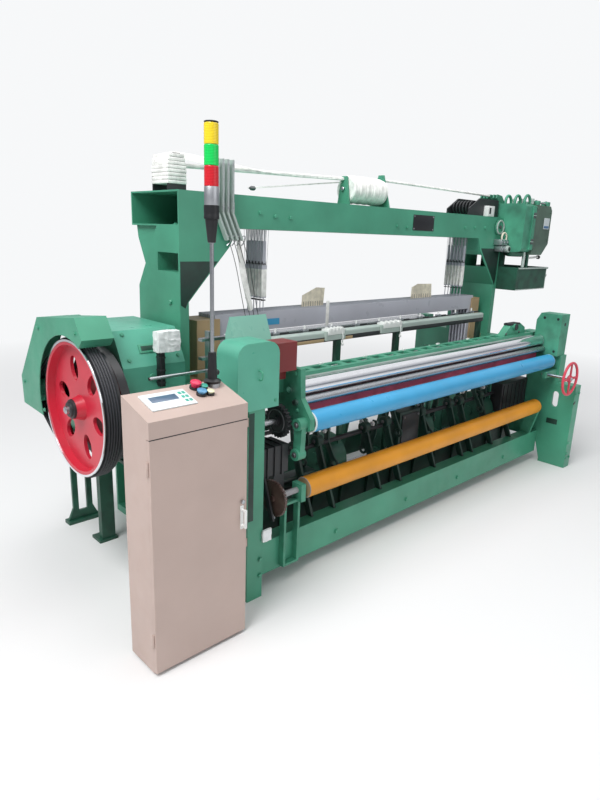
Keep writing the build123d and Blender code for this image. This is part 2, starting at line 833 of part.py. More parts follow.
with BuildPart() as slanted_cover:
    plate_yz(
        [(90, frame_top), (90, 1180), (150, 1330), (154, 1328), (94, 1179), (94, frame_top)],
        11, 225,
    )
    plate_yz([(90, breast_high), (90, 1180), (150, 1330), (180, 1250), (180, breast_high)], 11, 15)
finish(slanted_cover.part, "slanted_cover")

with BuildPart() as feeler_box:
    block(156, 279, -20, 88, 1085, 1220)
    fillet(feeler_box.edges().filter_by(Axis.Z), 6)
    block(232, 272, 50, 140, breast_high, 1085)
finish(feeler_box.part, "feeler_box")

# Dobby and what links it to the harness
dobby_left = right_frame_x + column_outer
eye_x = dobby_left - 34
housing_low, housing_high = 1620, 1990
with BuildPart() as dobby_housing:
    block(dobby_left, dobby_left + 150, 340, 830, housing_low, housing_high)
    fillet(dobby_housing.edges().filter_by(Axis.X), 30)
    block(dobby_left + 108, dobby_left + 150, 326, 345, housing_low + 20, housing_high - 15)
    for index in range(frame_count):
        y = harness_front + index * frame_pitch
        plate_xz(
            [
                (dobby_left + 30, 1985),
                (dobby_left - 20, 2030),
                (dobby_left - 10, 2058),
                (dobby_left + 60, 2050),
                (dobby_left + 130, 1985),
            ],
            y, y + frame_thickness,
        )
    block(eye_x + 0.6, dobby_left - 12, 646, 658, 2036, 2056)
finish(dobby_housing.part, "dobby_housing")

with BuildPart() as dobby_end_cover:
    plate_xz(
        [
            (dobby_left + 150, 1600),
            (dobby_left + 330, 1600),
            (dobby_left + 425, 1690),
            (dobby_left + 425, 1950),
            (dobby_left + 395, 1985),
            (dobby_left + 150, 1985),
        ],
        330, 840,
    )
finish(dobby_end_cover.part, "dobby_end_cover")

# Oil tray under the dobby: a bin with a rim, hung on the housing
tray_right, tray_front, tray_back = dobby_left + 510, 350, 760
tray_gap, tray_depth, tray_wall = 120, 180, 12
tray_high = housing_low - tray_gap
tray_low = tray_high - tray_depth
with BuildPart() as dobby_tray:
    block(dobby_left, tray_right, tray_front, tray_back, tray_low, tray_high)
    block(
        dobby_left + tray_wall, tray_right - tray_wall, tray_front + tray_wall, tray_back - tray_wall,
        tray_low + tray_wall, tray_high + 1, mode=Mode.SUBTRACT,
    )
    block(dobby_left, tray_right + 10, tray_front - 10, tray_front, tray_high - 14, tray_high)
    block(tray_right, tray_right + 10, tray_front, tray_back, tray_high - 14, tray_high)
    block(dobby_left + 30, dobby_left + 60, 500, 700, tray_low + tray_wall, housing_low)
finish(dobby_tray.part, "dobby_tray")

sheave_radius = 48
sheave_x = cable_right + sheave_radius
block_left, block_right = cable_right - 40, right_frame_x - 15
with BuildPart() as pulley_block:
    for y in (harness_front - 24, harness_back + 12):
        plate_xz(
            [
                (block_left, beam_top),
                (block_right, beam_top),
                (block_right, beam_top + 130),
                (block_left + 140, beam_top + 130),
                (block_left, beam_top + 50),
            ],
            y, y + 12,
        )
    block(block_right - 20, block_right, harness_front - 24, harness_back + 24, beam_top, beam_top + 130)
    bar_y(sheave_x, harness_front - 24, harness_back + 24, beam_top + 60, 10)
    for index in range(frame_count):
        y = harness_front + index * frame_pitch
        with BuildSketch(Plane.XZ.offset(-y - frame_thickness)):
            with Locations((sheave_x, beam_top + 60)):
                RegularPolygon(sheave_radius, 20)
        extrude(amount=frame_thickness)
finish(pulley_block.part, "pulley_block")

jack_x, jack_front, jack_back = 70, 655, 800
with BuildPart() as left_jack_stack:
    for y in (jack_front, jack_back - 8):
        plate_xz(
            [
                (jack_x - 52, beam_top),
                (jack_x - 52, beam_top + 90),
                (jack_x - 20, beam_top + 175),
                (jack_x + 20, beam_top + 175),
                (jack_x + 52, beam_top + 90),
                (jack_x + 52, beam_top),
            ],
            y, y + 8,
        )
    bar_y(jack_x, jack_front, jack_back, beam_top + 125, 48)
finish(left_jack_stack.part, "left_jack_stack")

roll_start, roll_end, roll_y, roll_radius = 1310, 1650, 690, 78
roll_z = beam_top + roll_radius + 22
with BuildPart() as middle_roll:
    bar_x(roll_start, roll_end, roll_y, roll_z, roll_radius)
finish(middle_roll.part, "middle_roll")

with BuildPart() as middle_roll_brackets:
    for x, foot, rise in ((roll_start - 14, 50, 75), (roll_end, 85, 110)):
        plate_yz(
            [
                (roll_y - foot, beam_top),
                (roll_y + foot, beam_top),
                (roll_y + 20, roll_z + rise),
                (roll_y - 20, roll_z + rise),
            ],
            x, x + 14,
        )
finish(middle_roll_brackets.part, "middle_roll_brackets")

with BuildPart() as link_rods:
    rod((jack_x + 48, 700, beam_top + 125), (roll_start - 14.6, 700, roll_z + 60), 11)
    rod((roll_end + 14.6, 695, roll_z + 80), (eye_x, 652, 2046), 8)
finish(link_rods.part, "link_rods")

lever_count, lever_pitch, lever_width = 4, 30, 9
with BuildPart() as front_jack_levers:
    block(180, 310, column_front - 12, column_front, beam_top - 90, beam_top - 40)
    for index in range(lever_count):
        x = 188 + lever_pitch * index
        plate_xz(
            [
                (x, beam_top + 155),
                (x + lever_width, beam_top + 155),
                (x + lever_width, beam_top - 90),
                (x + 70, 1660),
                (x + 60, 1655),
                (x, beam_top - 95),
            ],
            column_front - 38, column_front - 11,
        )
finish(front_jack_levers.part, "front_jack_levers")

# Control cabinet: a body with feet, a door on its front and a sloping console
cabinet_right = cabinet_left + cabinet_width
cabinet_back = cabinet_front + cabinet_depth
body_front = cabinet_front + door_thickness + 0.5
with BuildPart() as cabinet_body:
    block(cabinet_left, cabinet_right, body_front, cabinet_back, foot_gap, cabinet_height)
    block(
        cabinet_left + sheet, cabinet_right - sheet, body_front - 1, cabinet_back - sheet,
        foot_gap + sheet, cabinet_height - sheet, mode=Mode.SUBTRACT,
    )
    for x in (cabinet_left + 45, cabinet_right - 45):
        for y in (body_front + 35, cabinet_back - 35):
            bar_z(x, y, 0, foot_gap, 16)
    for z in (bracket_low, cabinet_height - 105):
        block(cabinet_right, -flange_width / 2, left_front + 2, left_front + 12, z, z + 40)
finish(cabinet_body.part, "cabinet_body")

with BuildPart() as cabinet_door:
    block(
        cabinet_left, cabinet_right, cabinet_front, cabinet_front + door_thickness,
        foot_gap + 6, cabinet_height - 3,
    )
    fillet(cabinet_door.edges().filter_by(Axis.Z).group_by(Axis.Y)[0], 3)
finish(cabinet_door.part, "cabinet_door")

console_outline = [
    (cabinet_front, cabinet_height),
    (cabinet_front, console_front),
    (cabinet_back, console_back),
    (cabinet_back, cabinet_height),
]
with BuildPart() as console:
    plate_yz(console_outline, cabinet_left, cabinet_right)
finish(console.part, "console")

# Tower light on a pole that stands on the console
tower_x, tower_y = -236, -68
tower_base = console_back - 37
pole_foot = tower_base + 160
collar_low = tower_base + 585
collar_wide = collar_low + 87
lamp_low = collar_low + 203
lamp_height, lamp_radius = 75, 27
with BuildPart() as tower_pole:
    bar_z(tower_x, tower_y, tower_base, tower_base + 44, 31)
    plate_yz(console_outline, cabinet_left, cabinet_right, mode=Mode.SUBTRACT)
    bar_z(tower_x, tower_y, tower_base + 40, pole_foot, 14)
    bar_z(tower_x, tower_y, pole_foot, collar_low, 8)
    with BuildSketch(Plane.XZ.offset(-tower_y)) as collar:
        with BuildLine():
            Polyline(
                (tower_x, collar_low),
                (tower_x + 13, collar_low),
                (tower_x + 23, collar_wide),
                (tower_x + lamp_radius - 1, collar_wide),
                (tower_x + lamp_radius - 1, lamp_low),
                (tower_x, lamp_low),
                close=True,
            )
        make_face()
    revolve(collar.sketch, axis=Axis((tower_x, tower_y, 0), (0, 0, 1)))
finish(tower_pole.part, "tower_pole")

with BuildPart() as tower_lamps:
    for index in range(3):
        bar_z(
            tower_x, tower_y, lamp_low + lamp_height * index, lamp_low + lamp_height * (index + 1) - 2,
            lamp_radius,
        )
    bar_z(tower_x, tower_y, lamp_low, lamp_low + lamp_height * 3, lamp_radius - 1)
finish(tower_lamps.part, "tower_lamps")
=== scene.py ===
"""Finishes and fine pieces of a shuttleless loom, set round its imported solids."""
from math import atan, cos, pi, radians, sin

import bmesh
import bpy
from mathutils import Matrix, Vector, noise


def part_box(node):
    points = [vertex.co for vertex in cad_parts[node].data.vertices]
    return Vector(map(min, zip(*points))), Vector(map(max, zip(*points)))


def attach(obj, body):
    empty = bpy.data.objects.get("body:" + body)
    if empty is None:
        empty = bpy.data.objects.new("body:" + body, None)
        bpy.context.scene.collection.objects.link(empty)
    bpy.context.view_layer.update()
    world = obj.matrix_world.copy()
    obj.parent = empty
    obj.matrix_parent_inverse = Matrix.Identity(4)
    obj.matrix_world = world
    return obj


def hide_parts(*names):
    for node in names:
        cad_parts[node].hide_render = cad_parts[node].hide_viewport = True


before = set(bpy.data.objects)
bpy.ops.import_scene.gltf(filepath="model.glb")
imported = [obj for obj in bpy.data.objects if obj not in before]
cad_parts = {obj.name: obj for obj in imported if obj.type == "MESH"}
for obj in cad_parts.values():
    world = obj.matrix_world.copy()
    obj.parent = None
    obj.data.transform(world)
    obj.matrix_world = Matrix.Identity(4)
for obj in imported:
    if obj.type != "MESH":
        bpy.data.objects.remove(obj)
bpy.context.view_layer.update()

MAIN = "machine"
X, Y, Z = Vector((1, 0, 0)), Vector((0, 1, 0)), Vector((0, 0, 1))

# Camera at the photograph's place, with the focal length of its perspective
CAMERA_PLACE = Vector((-1.61, -2.02, 1.7))
CAMERA_RIGHT = Vector((0.72840795, -0.68426725, 0.03464372))
CAMERA_DOWN = Vector((-0.15840251, -0.21738386, -0.96314739))
CAMERA_FORWARD = Vector((0.66658121, 0.69607656, -0.26673378))
CAMERA_LENS = 27

# Paint and metal colours as they look, in sRGB
GREEN = (72, 149, 121)
DARK_GREEN = (34, 84, 66)
# Painted shade: a darker copy of the dark green, for the lower parts between the front beam and the breast
# beam and for the plates that stand for shaded channels and recesses
SHADED_DARK_GREEN = (24, 58, 48)
# Painted highlight: the slanted cover's green is paler, as its top-facing slope looks in light from above
COVER_GREEN_WITH_PAINTED_HIGHLIGHT = (128, 186, 168)
LIGHT_GREEN = (88, 168, 144)
FRAME_GREY = (186, 188, 198)
BEIGE = (189, 168, 159)
WHEEL_RED = (198, 42, 62)
HAND_RED = (214, 70, 88)
BOX_RED = (118, 36, 36)
SKY_BLUE = (62, 158, 205)
# Painted light: the take-up roller's maroon is made much lighter than its own rubber to make up for the shade
# it lies in
MAROON_WITH_PAINTED_LIGHT = (204, 84, 108)
ORANGE = (222, 148, 30)
CREAM = (222, 214, 196)
RAIL_GREY = (170, 184, 178)
WHITE = (226, 228, 226)
BLACK = (24, 25, 28)
OIL = (20, 26, 24)

# Linear colour of the air and of the far floor that the camera sees
PALE_AIR = (0.93, 0.94, 0.95, 1)

# Places in metres and counts that several pieces or finishes share
INNER_LEFT, INNER_RIGHT = 0.046, 2.949
COLUMN_LEFT, COLUMN_RIGHT, COLUMN_FRONT = -0.01, 3.005, 0.5202
RIGHT_FRAME_X = 2.95
GEAR_AXIS = (0.045, 0.83)
HEDDLE_FRAMES = 6
LEVERS, LEVER_PITCH = 4, 0.03
POCKETS, LAST_CLIP = 24, 19
FLYWHEEL_CENTRE = (0, 0.572, 0.899)
FLYWHEEL_WEB, DRUM_WEB = 0.3152, 0.246
CLOTH_ROLLER_START, CLOTH_SHAFT_START = 0.334, 0.164
BELT_PITCH = 0.012


def linear(colour):
    """An sRGB colour of 0 to 255 as linear values of 0 to 1."""
    values = []
    for part in colour:
        share = part / 255
        values.append(share / 12.92 if share <= 0.04045 else ((share + 0.055) / 1.055) ** 2.4)
    return (*values, 1)


def shade(colour, factor):
    """A linear colour made lighter or darker."""
    return tuple(min(1, part * factor) for part in colour[:3]) + (1,)


def grey(value):
    """A grey for a ramp."""
    return (value, value, value, 1)


# Materials
class Tree:
    """A node tree with short ways to add and join nodes."""

    def __init__(self, tree):
        self.tree = tree

    def feed(self, node, socket, value):
        """Gives a node's input a value, or the output of another node."""
        if isinstance(value, bpy.types.NodeSocket):
            self.tree.links.new(value, node.inputs[socket])
        else:
            node.inputs[socket].default_value = value

    def add(self, kind, inputs=None, **settings):
        """A new node with its settings and inputs."""
        node = self.tree.nodes.new("ShaderNode" + kind)
        for setting, value in settings.items():
            setattr(node, setting, value)
        for socket, value in (inputs or {}).items():
            self.feed(node, socket, value)
        return node

    def math(self, operation, first, second):
        """The result of a sum or a comparison."""
        return self.add("Math", {0: first, 1: second}, operation=operation).outputs["Value"]

    def ramp(self, factor, stops):
        """Two colours along a factor."""
        node = self.add("ValToRGB", {"Fac": factor})
        for element, (place, colour) in zip(node.color_ramp.elements, stops):
            element.position = place
            element.color = colour
        return node.outputs["Color"]

    def tones(self, factor, base, darker, lighter, stops=(0.3, 0.7)):
        """A colour from its darker to its lighter tone along a factor."""
        return self.ramp(factor, [(stops[0], shade(base, darker)), (stops[1], shade(base, lighter))])

    def mix(self, factor, first, second):
        """One colour laid over another."""
        return self.add("Mix", {"Factor": factor, 6: first, 7: second}, data_type="RGBA").outputs[2]


class Finish(Tree):
    """A material with its shader, for short material functions."""

    def __init__(self, name):
        self.material = bpy.data.materials.new(name)
        self.material.use_nodes = True
        super().__init__(self.material.node_tree)
        self.shader = self.tree.nodes["Principled BSDF"]
        self.place = self.add("TexCoord").outputs["Object"]

    def set(self, socket, value):
        """Sets one of the shader's own sockets."""
        self.feed(self.shader, socket, value)

    def noise(self, scale, detail=3, stretch=None):
        """Noise from 0 to 1, in metres times the scale."""
        place = self.place
        if stretch:
            place = self.add("Mapping", {"Vector": place, "Scale": stretch}).outputs["Vector"]
        return self.add("TexNoise", {"Vector": place, "Scale": scale, "Detail": detail}).outputs["Fac"]

    def wave(self, direction, scale):
        """Bands from 0 to 1 along one direction."""
        node = self.add("TexWave", {"Vector": self.place, "Scale": scale}, bands_direction=direction)
        return node.outputs["Fac"]

    def coat(self, tone, roughness, height, strength, distance):
        """Gives the surface its colour, roughness and bumps."""
        bump = self.add("Bump", {"Height": height, "Strength": strength, "Distance": distance})
        self.set("Base Color", tone)
        self.set("Roughness", roughness)
        self.set("Normal", bump.outputs["Normal"])
        return self.material


def paint(name, colour, roughness=0.36, variation=0.14, peel=0.12):
    """Sprayed enamel: cloudy tone, orange peel and uneven gloss."""
    nodes = Finish(name)
    tone = nodes.tones(nodes.noise(3.2, 5), linear(colour), 1 - variation, 1 + variation)
    gloss = nodes.tones(nodes.noise(14, 4), grey(roughness), 0.8, 1.3)
    return nodes.coat(tone, gloss, nodes.noise(260, 2), peel, 0.0006)


def casting(name, colour, dirt=0.5):
    """Painted rough casting with oily dirt in patches."""
    nodes = Finish(name)
    cloud = nodes.tones(nodes.noise(5, 6), linear(colour), 0.75, 1.2)
    patches = nodes.tones(nodes.noise(9, 8), grey(dirt), 0, 1, (0.45, 0.68))
    return nodes.coat(nodes.mix(patches, cloud, linear(OIL)), 0.45, nodes.noise(120, 4), 0.35, 0.001)


def metal(name, colour, roughness=0.25, grain=(1, 60, 60)):
    """Bare metal with turning or drawing marks along one direction."""
    nodes = Finish(name)
    lines = nodes.noise(30, 3, grain)
    gloss = nodes.tones(lines, grey(roughness), 0.7, 1.4)
    nodes.set("Metallic", 1.0)
    return nodes.coat(nodes.tones(lines, linear(colour), 0.85, 1.08), gloss, lines, 0.05, 0.0003)


def plastic(name, colour, roughness=0.35):
    """Moulded plastic with a fine grain."""
    nodes = Finish(name)
    tone = nodes.tones(nodes.noise(20, 3), linear(colour), 0.93, 1.07)
    return nodes.coat(tone, roughness, nodes.noise(700, 2), 0.08, 0.0003)


def lamp(name, colour):
    """A ribbed lamp ring that glows a little."""
    nodes = Finish(name)
    ribs = nodes.wave("Z", 60)
    tone = nodes.tones(ribs, linear(colour), 0.85, 1.1, (0.2, 0.8))
    nodes.set("Emission Color", tone)
    nodes.set("Emission Strength", 0.06)
    return nodes.coat(tone, 0.18, ribs, 0.3, 0.0008)


def roller_with_ratchet(name, colour):
    """Roller enamel, bare steel on the shaft to its left and a dark ratchet disc at the shaft's end."""
    nodes = Finish(name)
    cloud = nodes.tones(nodes.noise(3.2, 5), linear(colour), 0.88, 1.12)
    grime = nodes.ramp(nodes.noise(18, 5), [(0.3, linear((62, 40, 36))), (0.7, linear((96, 78, 72)))])
    along = nodes.add("SeparateXYZ", {"Vector": nodes.place}).outputs["X"]
    on_roller = nodes.math("GREATER_THAN", along, CLOTH_ROLLER_START)
    on_shaft = nodes.math("GREATER_THAN", along, CLOTH_SHAFT_START)
    metalwork = nodes.mix(on_shaft, grime, linear((150, 150, 152)))
    return nodes.coat(nodes.mix(on_roller, metalwork, cloud), 0.42, nodes.noise(260, 2), 0.1, 0.0006)


def wheel_paint(name, face, edge, limit):
    """Enamel on a web of the drive wheel, with oiled iron beyond a radius round its axis."""
    nodes = Finish(name)
    cloud = nodes.tones(nodes.noise(4, 5), linear(face), 0.85, 1.1)
    dark = nodes.tones(nodes.noise(30, 4), linear(edge), 0.7, 1.3)
    offset = nodes.add("VectorMath", {0: nodes.place, 1: FLYWHEEL_CENTRE}, operation="SUBTRACT")
    flat = nodes.add("VectorMath", {0: offset.outputs["Vector"], 1: (0, 1, 1)}, operation="MULTIPLY")
    radius = nodes.add("VectorMath", {0: flat.outputs["Vector"]}, operation="LENGTH").outputs["Value"]
    beyond = nodes.math("GREATER_THAN", radius, limit)
    return nodes.coat(nodes.mix(beyond, cloud, dark), 0.3, nodes.noise(200, 2), 0.1, 0.0006)


def grooved_rubber(name, colour):
    """A set of belts side by side, with a groove every pitch along X."""
    nodes = Finish(name)
    grooves = nodes.wave("X", 0.314 / BELT_PITCH)
    tone = nodes.tones(grooves, linear(colour), 0.35, 1.5, (0.15, 0.5))
    return nodes.coat(tone, 0.6, grooves, 0.8, 0.004)


def woven(name, colour):
    """Woven tape or wrapped cloth."""
    nodes = Finish(name)
    tone = nodes.tones(nodes.noise(25, 4), linear(colour), 0.72, 1.05, (0.3, 0.65))
    nodes.set("Sheen Weight", 0.2)
    return nodes.coat(tone, 0.85, nodes.noise(420, 2, (1, 1, 4)), 0.4, 0.0008)


M = {
    "green": paint("green_enamel", GREEN),
    "casting": casting("green_casting", GREEN, 0.35),
    "dark": casting("dark_green_casting", DARK_GREEN, 0.6),
    # Painted shade: the dark green casting darkened further for parts that lie in shade
    "deep": casting("shaded_dark_green_casting", SHADED_DARK_GREEN, 0.6),
    "frame": paint("heddle_frame_grey", FRAME_GREY, 0.32, 0.07),
    "beige": paint("beige_powder_coat", BEIGE, 0.48, 0.05, 0.3),
    "wheel": wheel_paint("wheel_red_enamel", WHEEL_RED, (30, 31, 36), FLYWHEEL_WEB),
    "drum": wheel_paint("drum_red_enamel", (150, 34, 42), (26, 27, 31), DRUM_WEB),
    "hand": paint("hand_red_enamel", HAND_RED, 0.35, 0.2),
    "wheel_red": paint("plain_red_enamel", WHEEL_RED, 0.35, 0.15),
    "red_box": paint("box_red_enamel", BOX_RED, 0.4, 0.15),
    "blue": paint("blue_roller_cover", SKY_BLUE, 0.33, 0.1, 0.06),
    # The maroon rubber is painted lighter, as painted light in its shaded place
    "maroon": casting("maroon_grained_rubber_painted_lighter", MAROON_WITH_PAINTED_LIGHT, 0.25),
    "orange": roller_with_ratchet("orange_roller_enamel", ORANGE),
    "cream": paint("cream_enamel", CREAM, 0.45, 0.08),
    "rail": paint("grey_rail_enamel", RAIL_GREY, 0.4, 0.12),
    "highlit_cover": paint("cover_enamel_with_painted_highlight", COVER_GREEN_WITH_PAINTED_HIGHLIGHT, 0.3, 0.1),
    "light": paint("light_green_enamel", LIGHT_GREEN, 0.34, 0.15),
    "white": paint("white_enamel", WHITE, 0.4, 0.06),
    "chrome": metal("hard_chrome", (235, 236, 240), 0.1, (1, 90, 90)),
    "steel": metal("turned_steel", (180, 182, 186), 0.28),
    "dull_steel": metal("dull_steel", (120, 122, 124), 0.45),
    "aluminium": metal("drawn_aluminium", (188, 190, 194), 0.38),
    "iron": casting("oiled_iron", (40, 41, 44), 0.3),
    "black": plastic("black_plastic", BLACK, 0.4),
    "rubber": grooved_rubber("belt_rubber", (40, 40, 46)),
    "tape": woven("white_harness_tape", (250, 250, 246)),
    "card": woven("paper_card", (236, 228, 206)),
    "panel": plastic("panel_film", (232, 240, 242), 0.25),
    "lcd": plastic("display_glass", (92, 112, 136), 0.08),
    "yellow_lamp": lamp("yellow_lamp", (238, 208, 40)),
    "green_lamp": lamp("green_lamp", (20, 205, 90)),
    "red_lamp": lamp("red_lamp", (205, 30, 42)),
    "red_button": plastic("red_button", (226, 50, 90), 0.25),
    "teal_button": plastic("teal_button", (70, 170, 150), 0.25),
    "blue_button": plastic("blue_button", (90, 150, 190), 0.25),
    "cream_button": plastic("cream_button", (225, 225, 190), 0.25),
    "wood": paint("varnished_wood", (172, 148, 112), 0.5, 0.25),
    "plate": plastic("bare_nameplate", (30, 30, 34), 0.3),
    "olive": casting("olive_cover", (84, 108, 94), 0.3),
    "label": plastic("bare_label", (196, 206, 208), 0.4),
    "blue_label": plastic("label_band", (70, 110, 150), 0.4),
    "wrap": plastic("crumpled_wrap", (236, 240, 240), 0.3),
}

# Finish of each carried-over node; the others are green enamel
NODE_FINISH = {
    "casting": "right_end_casting left_roller_bracket cloth_brackets dobby_housing breast_castings",
    "dark": "sley middle_cross_beam rear_cross_beam dobby_tray cam_casings drive_stand",
    "beige": "cabinet_body cabinet_door console",
    "wheel": "flywheel",
    "hand": "handwheel",
    "red_box": "feeler_box",
    "highlit_cover": "slanted_cover",
    "light": "gear_cover gearbox",
    "blue": "press_roller",
    "maroon": "take_up_roller",
    "orange": "cloth_roller",
    "chrome": "chrome_roller",
    "steel": "guide_roller rocking_shaft main_shaft back_rest rapier_guide tower_pole",
    "tape": "link_rods",
    "drum": "brake_drum",
    "iron": "pulley_block left_jack_stack take_up_gearbox take_up_gear",
    "rubber": "drive_belt",
    "rail": "sley_rail front_jack_levers",
    "olive": "dobby_end_cover",
    "white": "middle_roll",
    "aluminium": "warp_beam",
    "frame": " ".join(f"heddle_frame_{number}" for number in range(1, HEDDLE_FRAMES + 1)),
    "wood": "heddle_guides",
    "yellow_lamp": "tower_lamps",
}
for node_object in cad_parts.values():
    node_object.data.materials.clear()
    node_object.data.materials.append(M["green"])
for finish, names in NODE_FINISH.items():
    for name in names.split():
        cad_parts[name].data.materials[0] = M[finish]


# Mesh building: every function adds to a Piece, which becomes one object
def placed(name, data):
    """A new object in the scene."""
    made = bpy.data.objects.new(name, data)
    bpy.context.scene.collection.objects.link(made)
    return made


def circle(part, place, across, third, sides):
    """A loop of points about a place, round or flat by its two half axes."""
    angles = [2 * pi * side / sides for side in range(sides)]
    return [part.verts.new(place + across * cos(angle) + third * sin(angle)) for angle in angles]


class Piece:
    """One named object built up from bevelled boxes, turned forms, plates and rods."""

    def __init__(self, name, body=MAIN):
        self.name = name
        self.body = body
        self.mesh = bmesh.new()
        self.finishes = []

    def take(self, part, finish, bevel=0.0):
        """Adds a small mesh, with its sharp edges bevelled."""
        bmesh.ops.recalc_face_normals(part, faces=part.faces)
        if bevel:
            sharp = [e for e in part.edges if e.is_manifold and e.calc_face_angle(0) > radians(35)]
            bmesh.ops.bevel(
                part, geom=sharp, offset=bevel, segments=2, profile=0.6, affect="EDGES", clamp_overlap=True,
            )
        if finish not in self.finishes:
            self.finishes.append(finish)
        for face in part.faces:
            face.material_index = self.finishes.index(finish)
        mesh = bpy.data.meshes.new("part")
        part.to_mesh(mesh)
        self.mesh.from_mesh(mesh)
        bpy.data.meshes.remove(mesh)
        part.free()

    def box(self, low, high, finish, bevel=0.003, turn=None):
        """A box between two corners, turned about its middle by a matrix."""
        part = bmesh.new()
        middle = (Vector(low) + Vector(high)) / 2
        size = Vector(high) - Vector(low)
        bmesh.ops.create_cube(part, size=1, matrix=Matrix.Diagonal((*size, 1)))
        place = Matrix.Translation(middle) @ (turn.to_4x4() if turn else Matrix())
        bmesh.ops.transform(part, matrix=place, verts=part.verts)
        self.take(part, finish, bevel)

    def pad(self, x, half, low, high, finish, bevel=0.003):
        """A box of a half width to both sides of x, between two (y, z) corners."""
        self.box((x - half, *low), (x + half, *high), finish, bevel)

    def skin(self, part, loops, closed=False):
        """Joins loops of as many points each, and caps the first and the last unless they close a ring."""
        count = len(loops[0])
        for first, second in zip(loops, loops[1:] + loops[:1] if closed else loops[1:]):
            for index in range(count):
                after = (index + 1) % count
                part.faces.new((first[index], first[after], second[after], second[index]))
        if not closed:
            part.faces.new(loops[0])
            part.faces.new(loops[-1])

    def plate(self, outline, axis, start, end, finish, bevel=0.002):
        """An outline in the two axes other than the given one, made thick along it."""
        part = bmesh.new()
        across = "xyz".index(axis)
        rings = []
        for level in (start, end):
            ring = []
            for point in outline:
                place = list(point)
                place.insert(across, level)
                ring.append(part.verts.new(place))
            rings.append(ring)
        self.skin(part, rings)
        self.take(part, finish, bevel)

    def turned(self, profile, origin, axis, finish, sides=32, ring=False):
        """A profile of (distance along, radius) points turned about an axis, solid or as a ring."""
        part = bmesh.new()
        direction = Vector(axis).normalized()
        across = direction.orthogonal().normalized()
        third = direction.cross(across)
        loops = []
        for along, radius in profile:
            reach = max(radius, 1e-5)
            place = Vector(origin) + direction * along
            loops.append(circle(part, place, across * reach, third * reach, sides))
        self.skin(part, loops, ring)
        self.take(part, finish)

    def disc(self, place, axis, radius, thick, finish, sides=20):
        """A flat disc, or with six sides a nut."""
        self.turned([(0, radius), (thick, radius)], place, axis, finish, sides)

    def drum(self, place, axis, length, radius, finish, sides, soft):
        """A round body with its edges softened."""
        profile = [(0, radius - soft), (soft, radius), (length - soft, radius), (length, radius - soft)]
        self.turned(profile, place, axis, finish, sides)

    def rod(self, start, end, radius, finish, sides=16):
        """A round bar with softened ends."""
        span = Vector(end) - Vector(start)
        soft = min(radius * 0.25, span.length * 0.2)
        self.drum(start, span, span.length, radius, finish, sides, soft)

    def hoop(self, place, axis, radius, tube, finish, sides=48):
        """A round bar bent into a ring."""
        profile = [(tube * cos(pi * step / 5), radius + tube * sin(pi * step / 5)) for step in range(10)]
        self.turned(profile, place, axis, finish, sides, ring=True)

    def lump(self, low, high, finish, crumple, cuts):
        """A box wrapped in something that creases."""
        part = bmesh.new()
        bmesh.ops.create_cube(part, size=2)
        bmesh.ops.subdivide_edges(part, edges=part.edges[:], cuts=cuts, use_grid_fill=True)
        middle = (Vector(low) + Vector(high)) / 2
        half = (Vector(high) - Vector(low)) / 2
        for vertex in part.verts:
            rounded = vertex.co.lerp(vertex.co.normalized() * 1.25, 0.2)
            place = middle + rounded * half
            crease = noise.ridged_multi_fractal(place * 38, 1.0, 2.1, 3, 0.8, 1.6) - 1.1
            vertex.co = place + vertex.co.normalized() * crease * crumple
        self.take(part, finish)

    def bolts(self, places, axis, finish="dull_steel", size=0.011):
        """Hexagon bolt heads on their washers."""
        for place in places:
            self.disc(place, axis, size * 1.15, 0.0015, finish)
            head = [(0.0012, size * 0.95), (size * 0.6, size * 0.95), (size * 0.72, size * 0.8)]
            self.turned(head, place, axis, finish, 6)

    def tube(self, points, radius, finish, sides=10, flat=1.0):
        """A smooth tube through points; flat below 1 makes a tape."""
        curve = bpy.data.curves.new("path", "CURVE")
        curve.dimensions = "3D"
        spline = curve.splines.new("NURBS")
        spline.points.add(len(points) - 1)
        for target, point in zip(spline.points, points):
            target.co = (*point, 1)
        spline.order_u = 3
        spline.use_endpoint_u = True
        spline.resolution_u = 6
        holder = bpy.data.objects.new("path", curve)
        line = bpy.data.meshes.new_from_object(holder)
        places = [vertex.co.copy() for vertex in line.vertices]
        bpy.data.objects.remove(holder)
        bpy.data.curves.remove(curve)
        bpy.data.meshes.remove(line)
        part = bmesh.new()
        side = (places[-1] - places[0]).orthogonal().normalized()
        rings = []
        for index, place in enumerate(places):
            before = places[max(index - 1, 0)]
            after = places[min(index + 1, len(places) - 1)]
            direction = (after - before).normalized()
            side = (side - direction * side.dot(direction)).normalized()
            third = direction.cross(side)
            rings.append(circle(part, place, side * radius, third * radius * flat, sides))
        self.skin(part, rings)
        self.take(part, finish)

    def done(self, replaced=()):
        """Makes the object and ties it to its body."""
        mesh = bpy.data.meshes.new(self.name)
        self.mesh.to_mesh(mesh)
        self.mesh.free()
        for finish in self.finishes:
            mesh.materials.append(M[finish])
        mesh.polygons.foreach_set("use_smooth", [True] * len(mesh.polygons))
        mesh.set_sharp_from_angle(angle=radians(32))
        made = placed(self.name, mesh)
        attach(made, self.body)
        if replaced:
            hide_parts(*replaced)


def low(node):
    """A node's lowest corner."""
    return Vector(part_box(node)[0])


def high(node):
    """A node's highest corner."""
    return Vector(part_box(node)[1])


def corners(node):
    """A node's lowest and highest corner."""
    return low(node), high(node)


def centre(node):
    """A node's middle."""
    return (low(node) + high(node)) / 2


def half_height(node):
    """Half a node's height: the radius of a wheel or a lying roller."""
    return (high(node).z - low(node).z) / 2


# Control cabinet: display, buttons, door handle, hinges
door_low, door_high = corners("cabinet_door")
console_low, console_high = corners("console")
CONSOLE_FRONT_Z = 1.05
slope = (console_high.z - CONSOLE_FRONT_Z) / (console_high.y - console_low.y)
tilt = Matrix.Rotation(atan(slope), 3, "X")


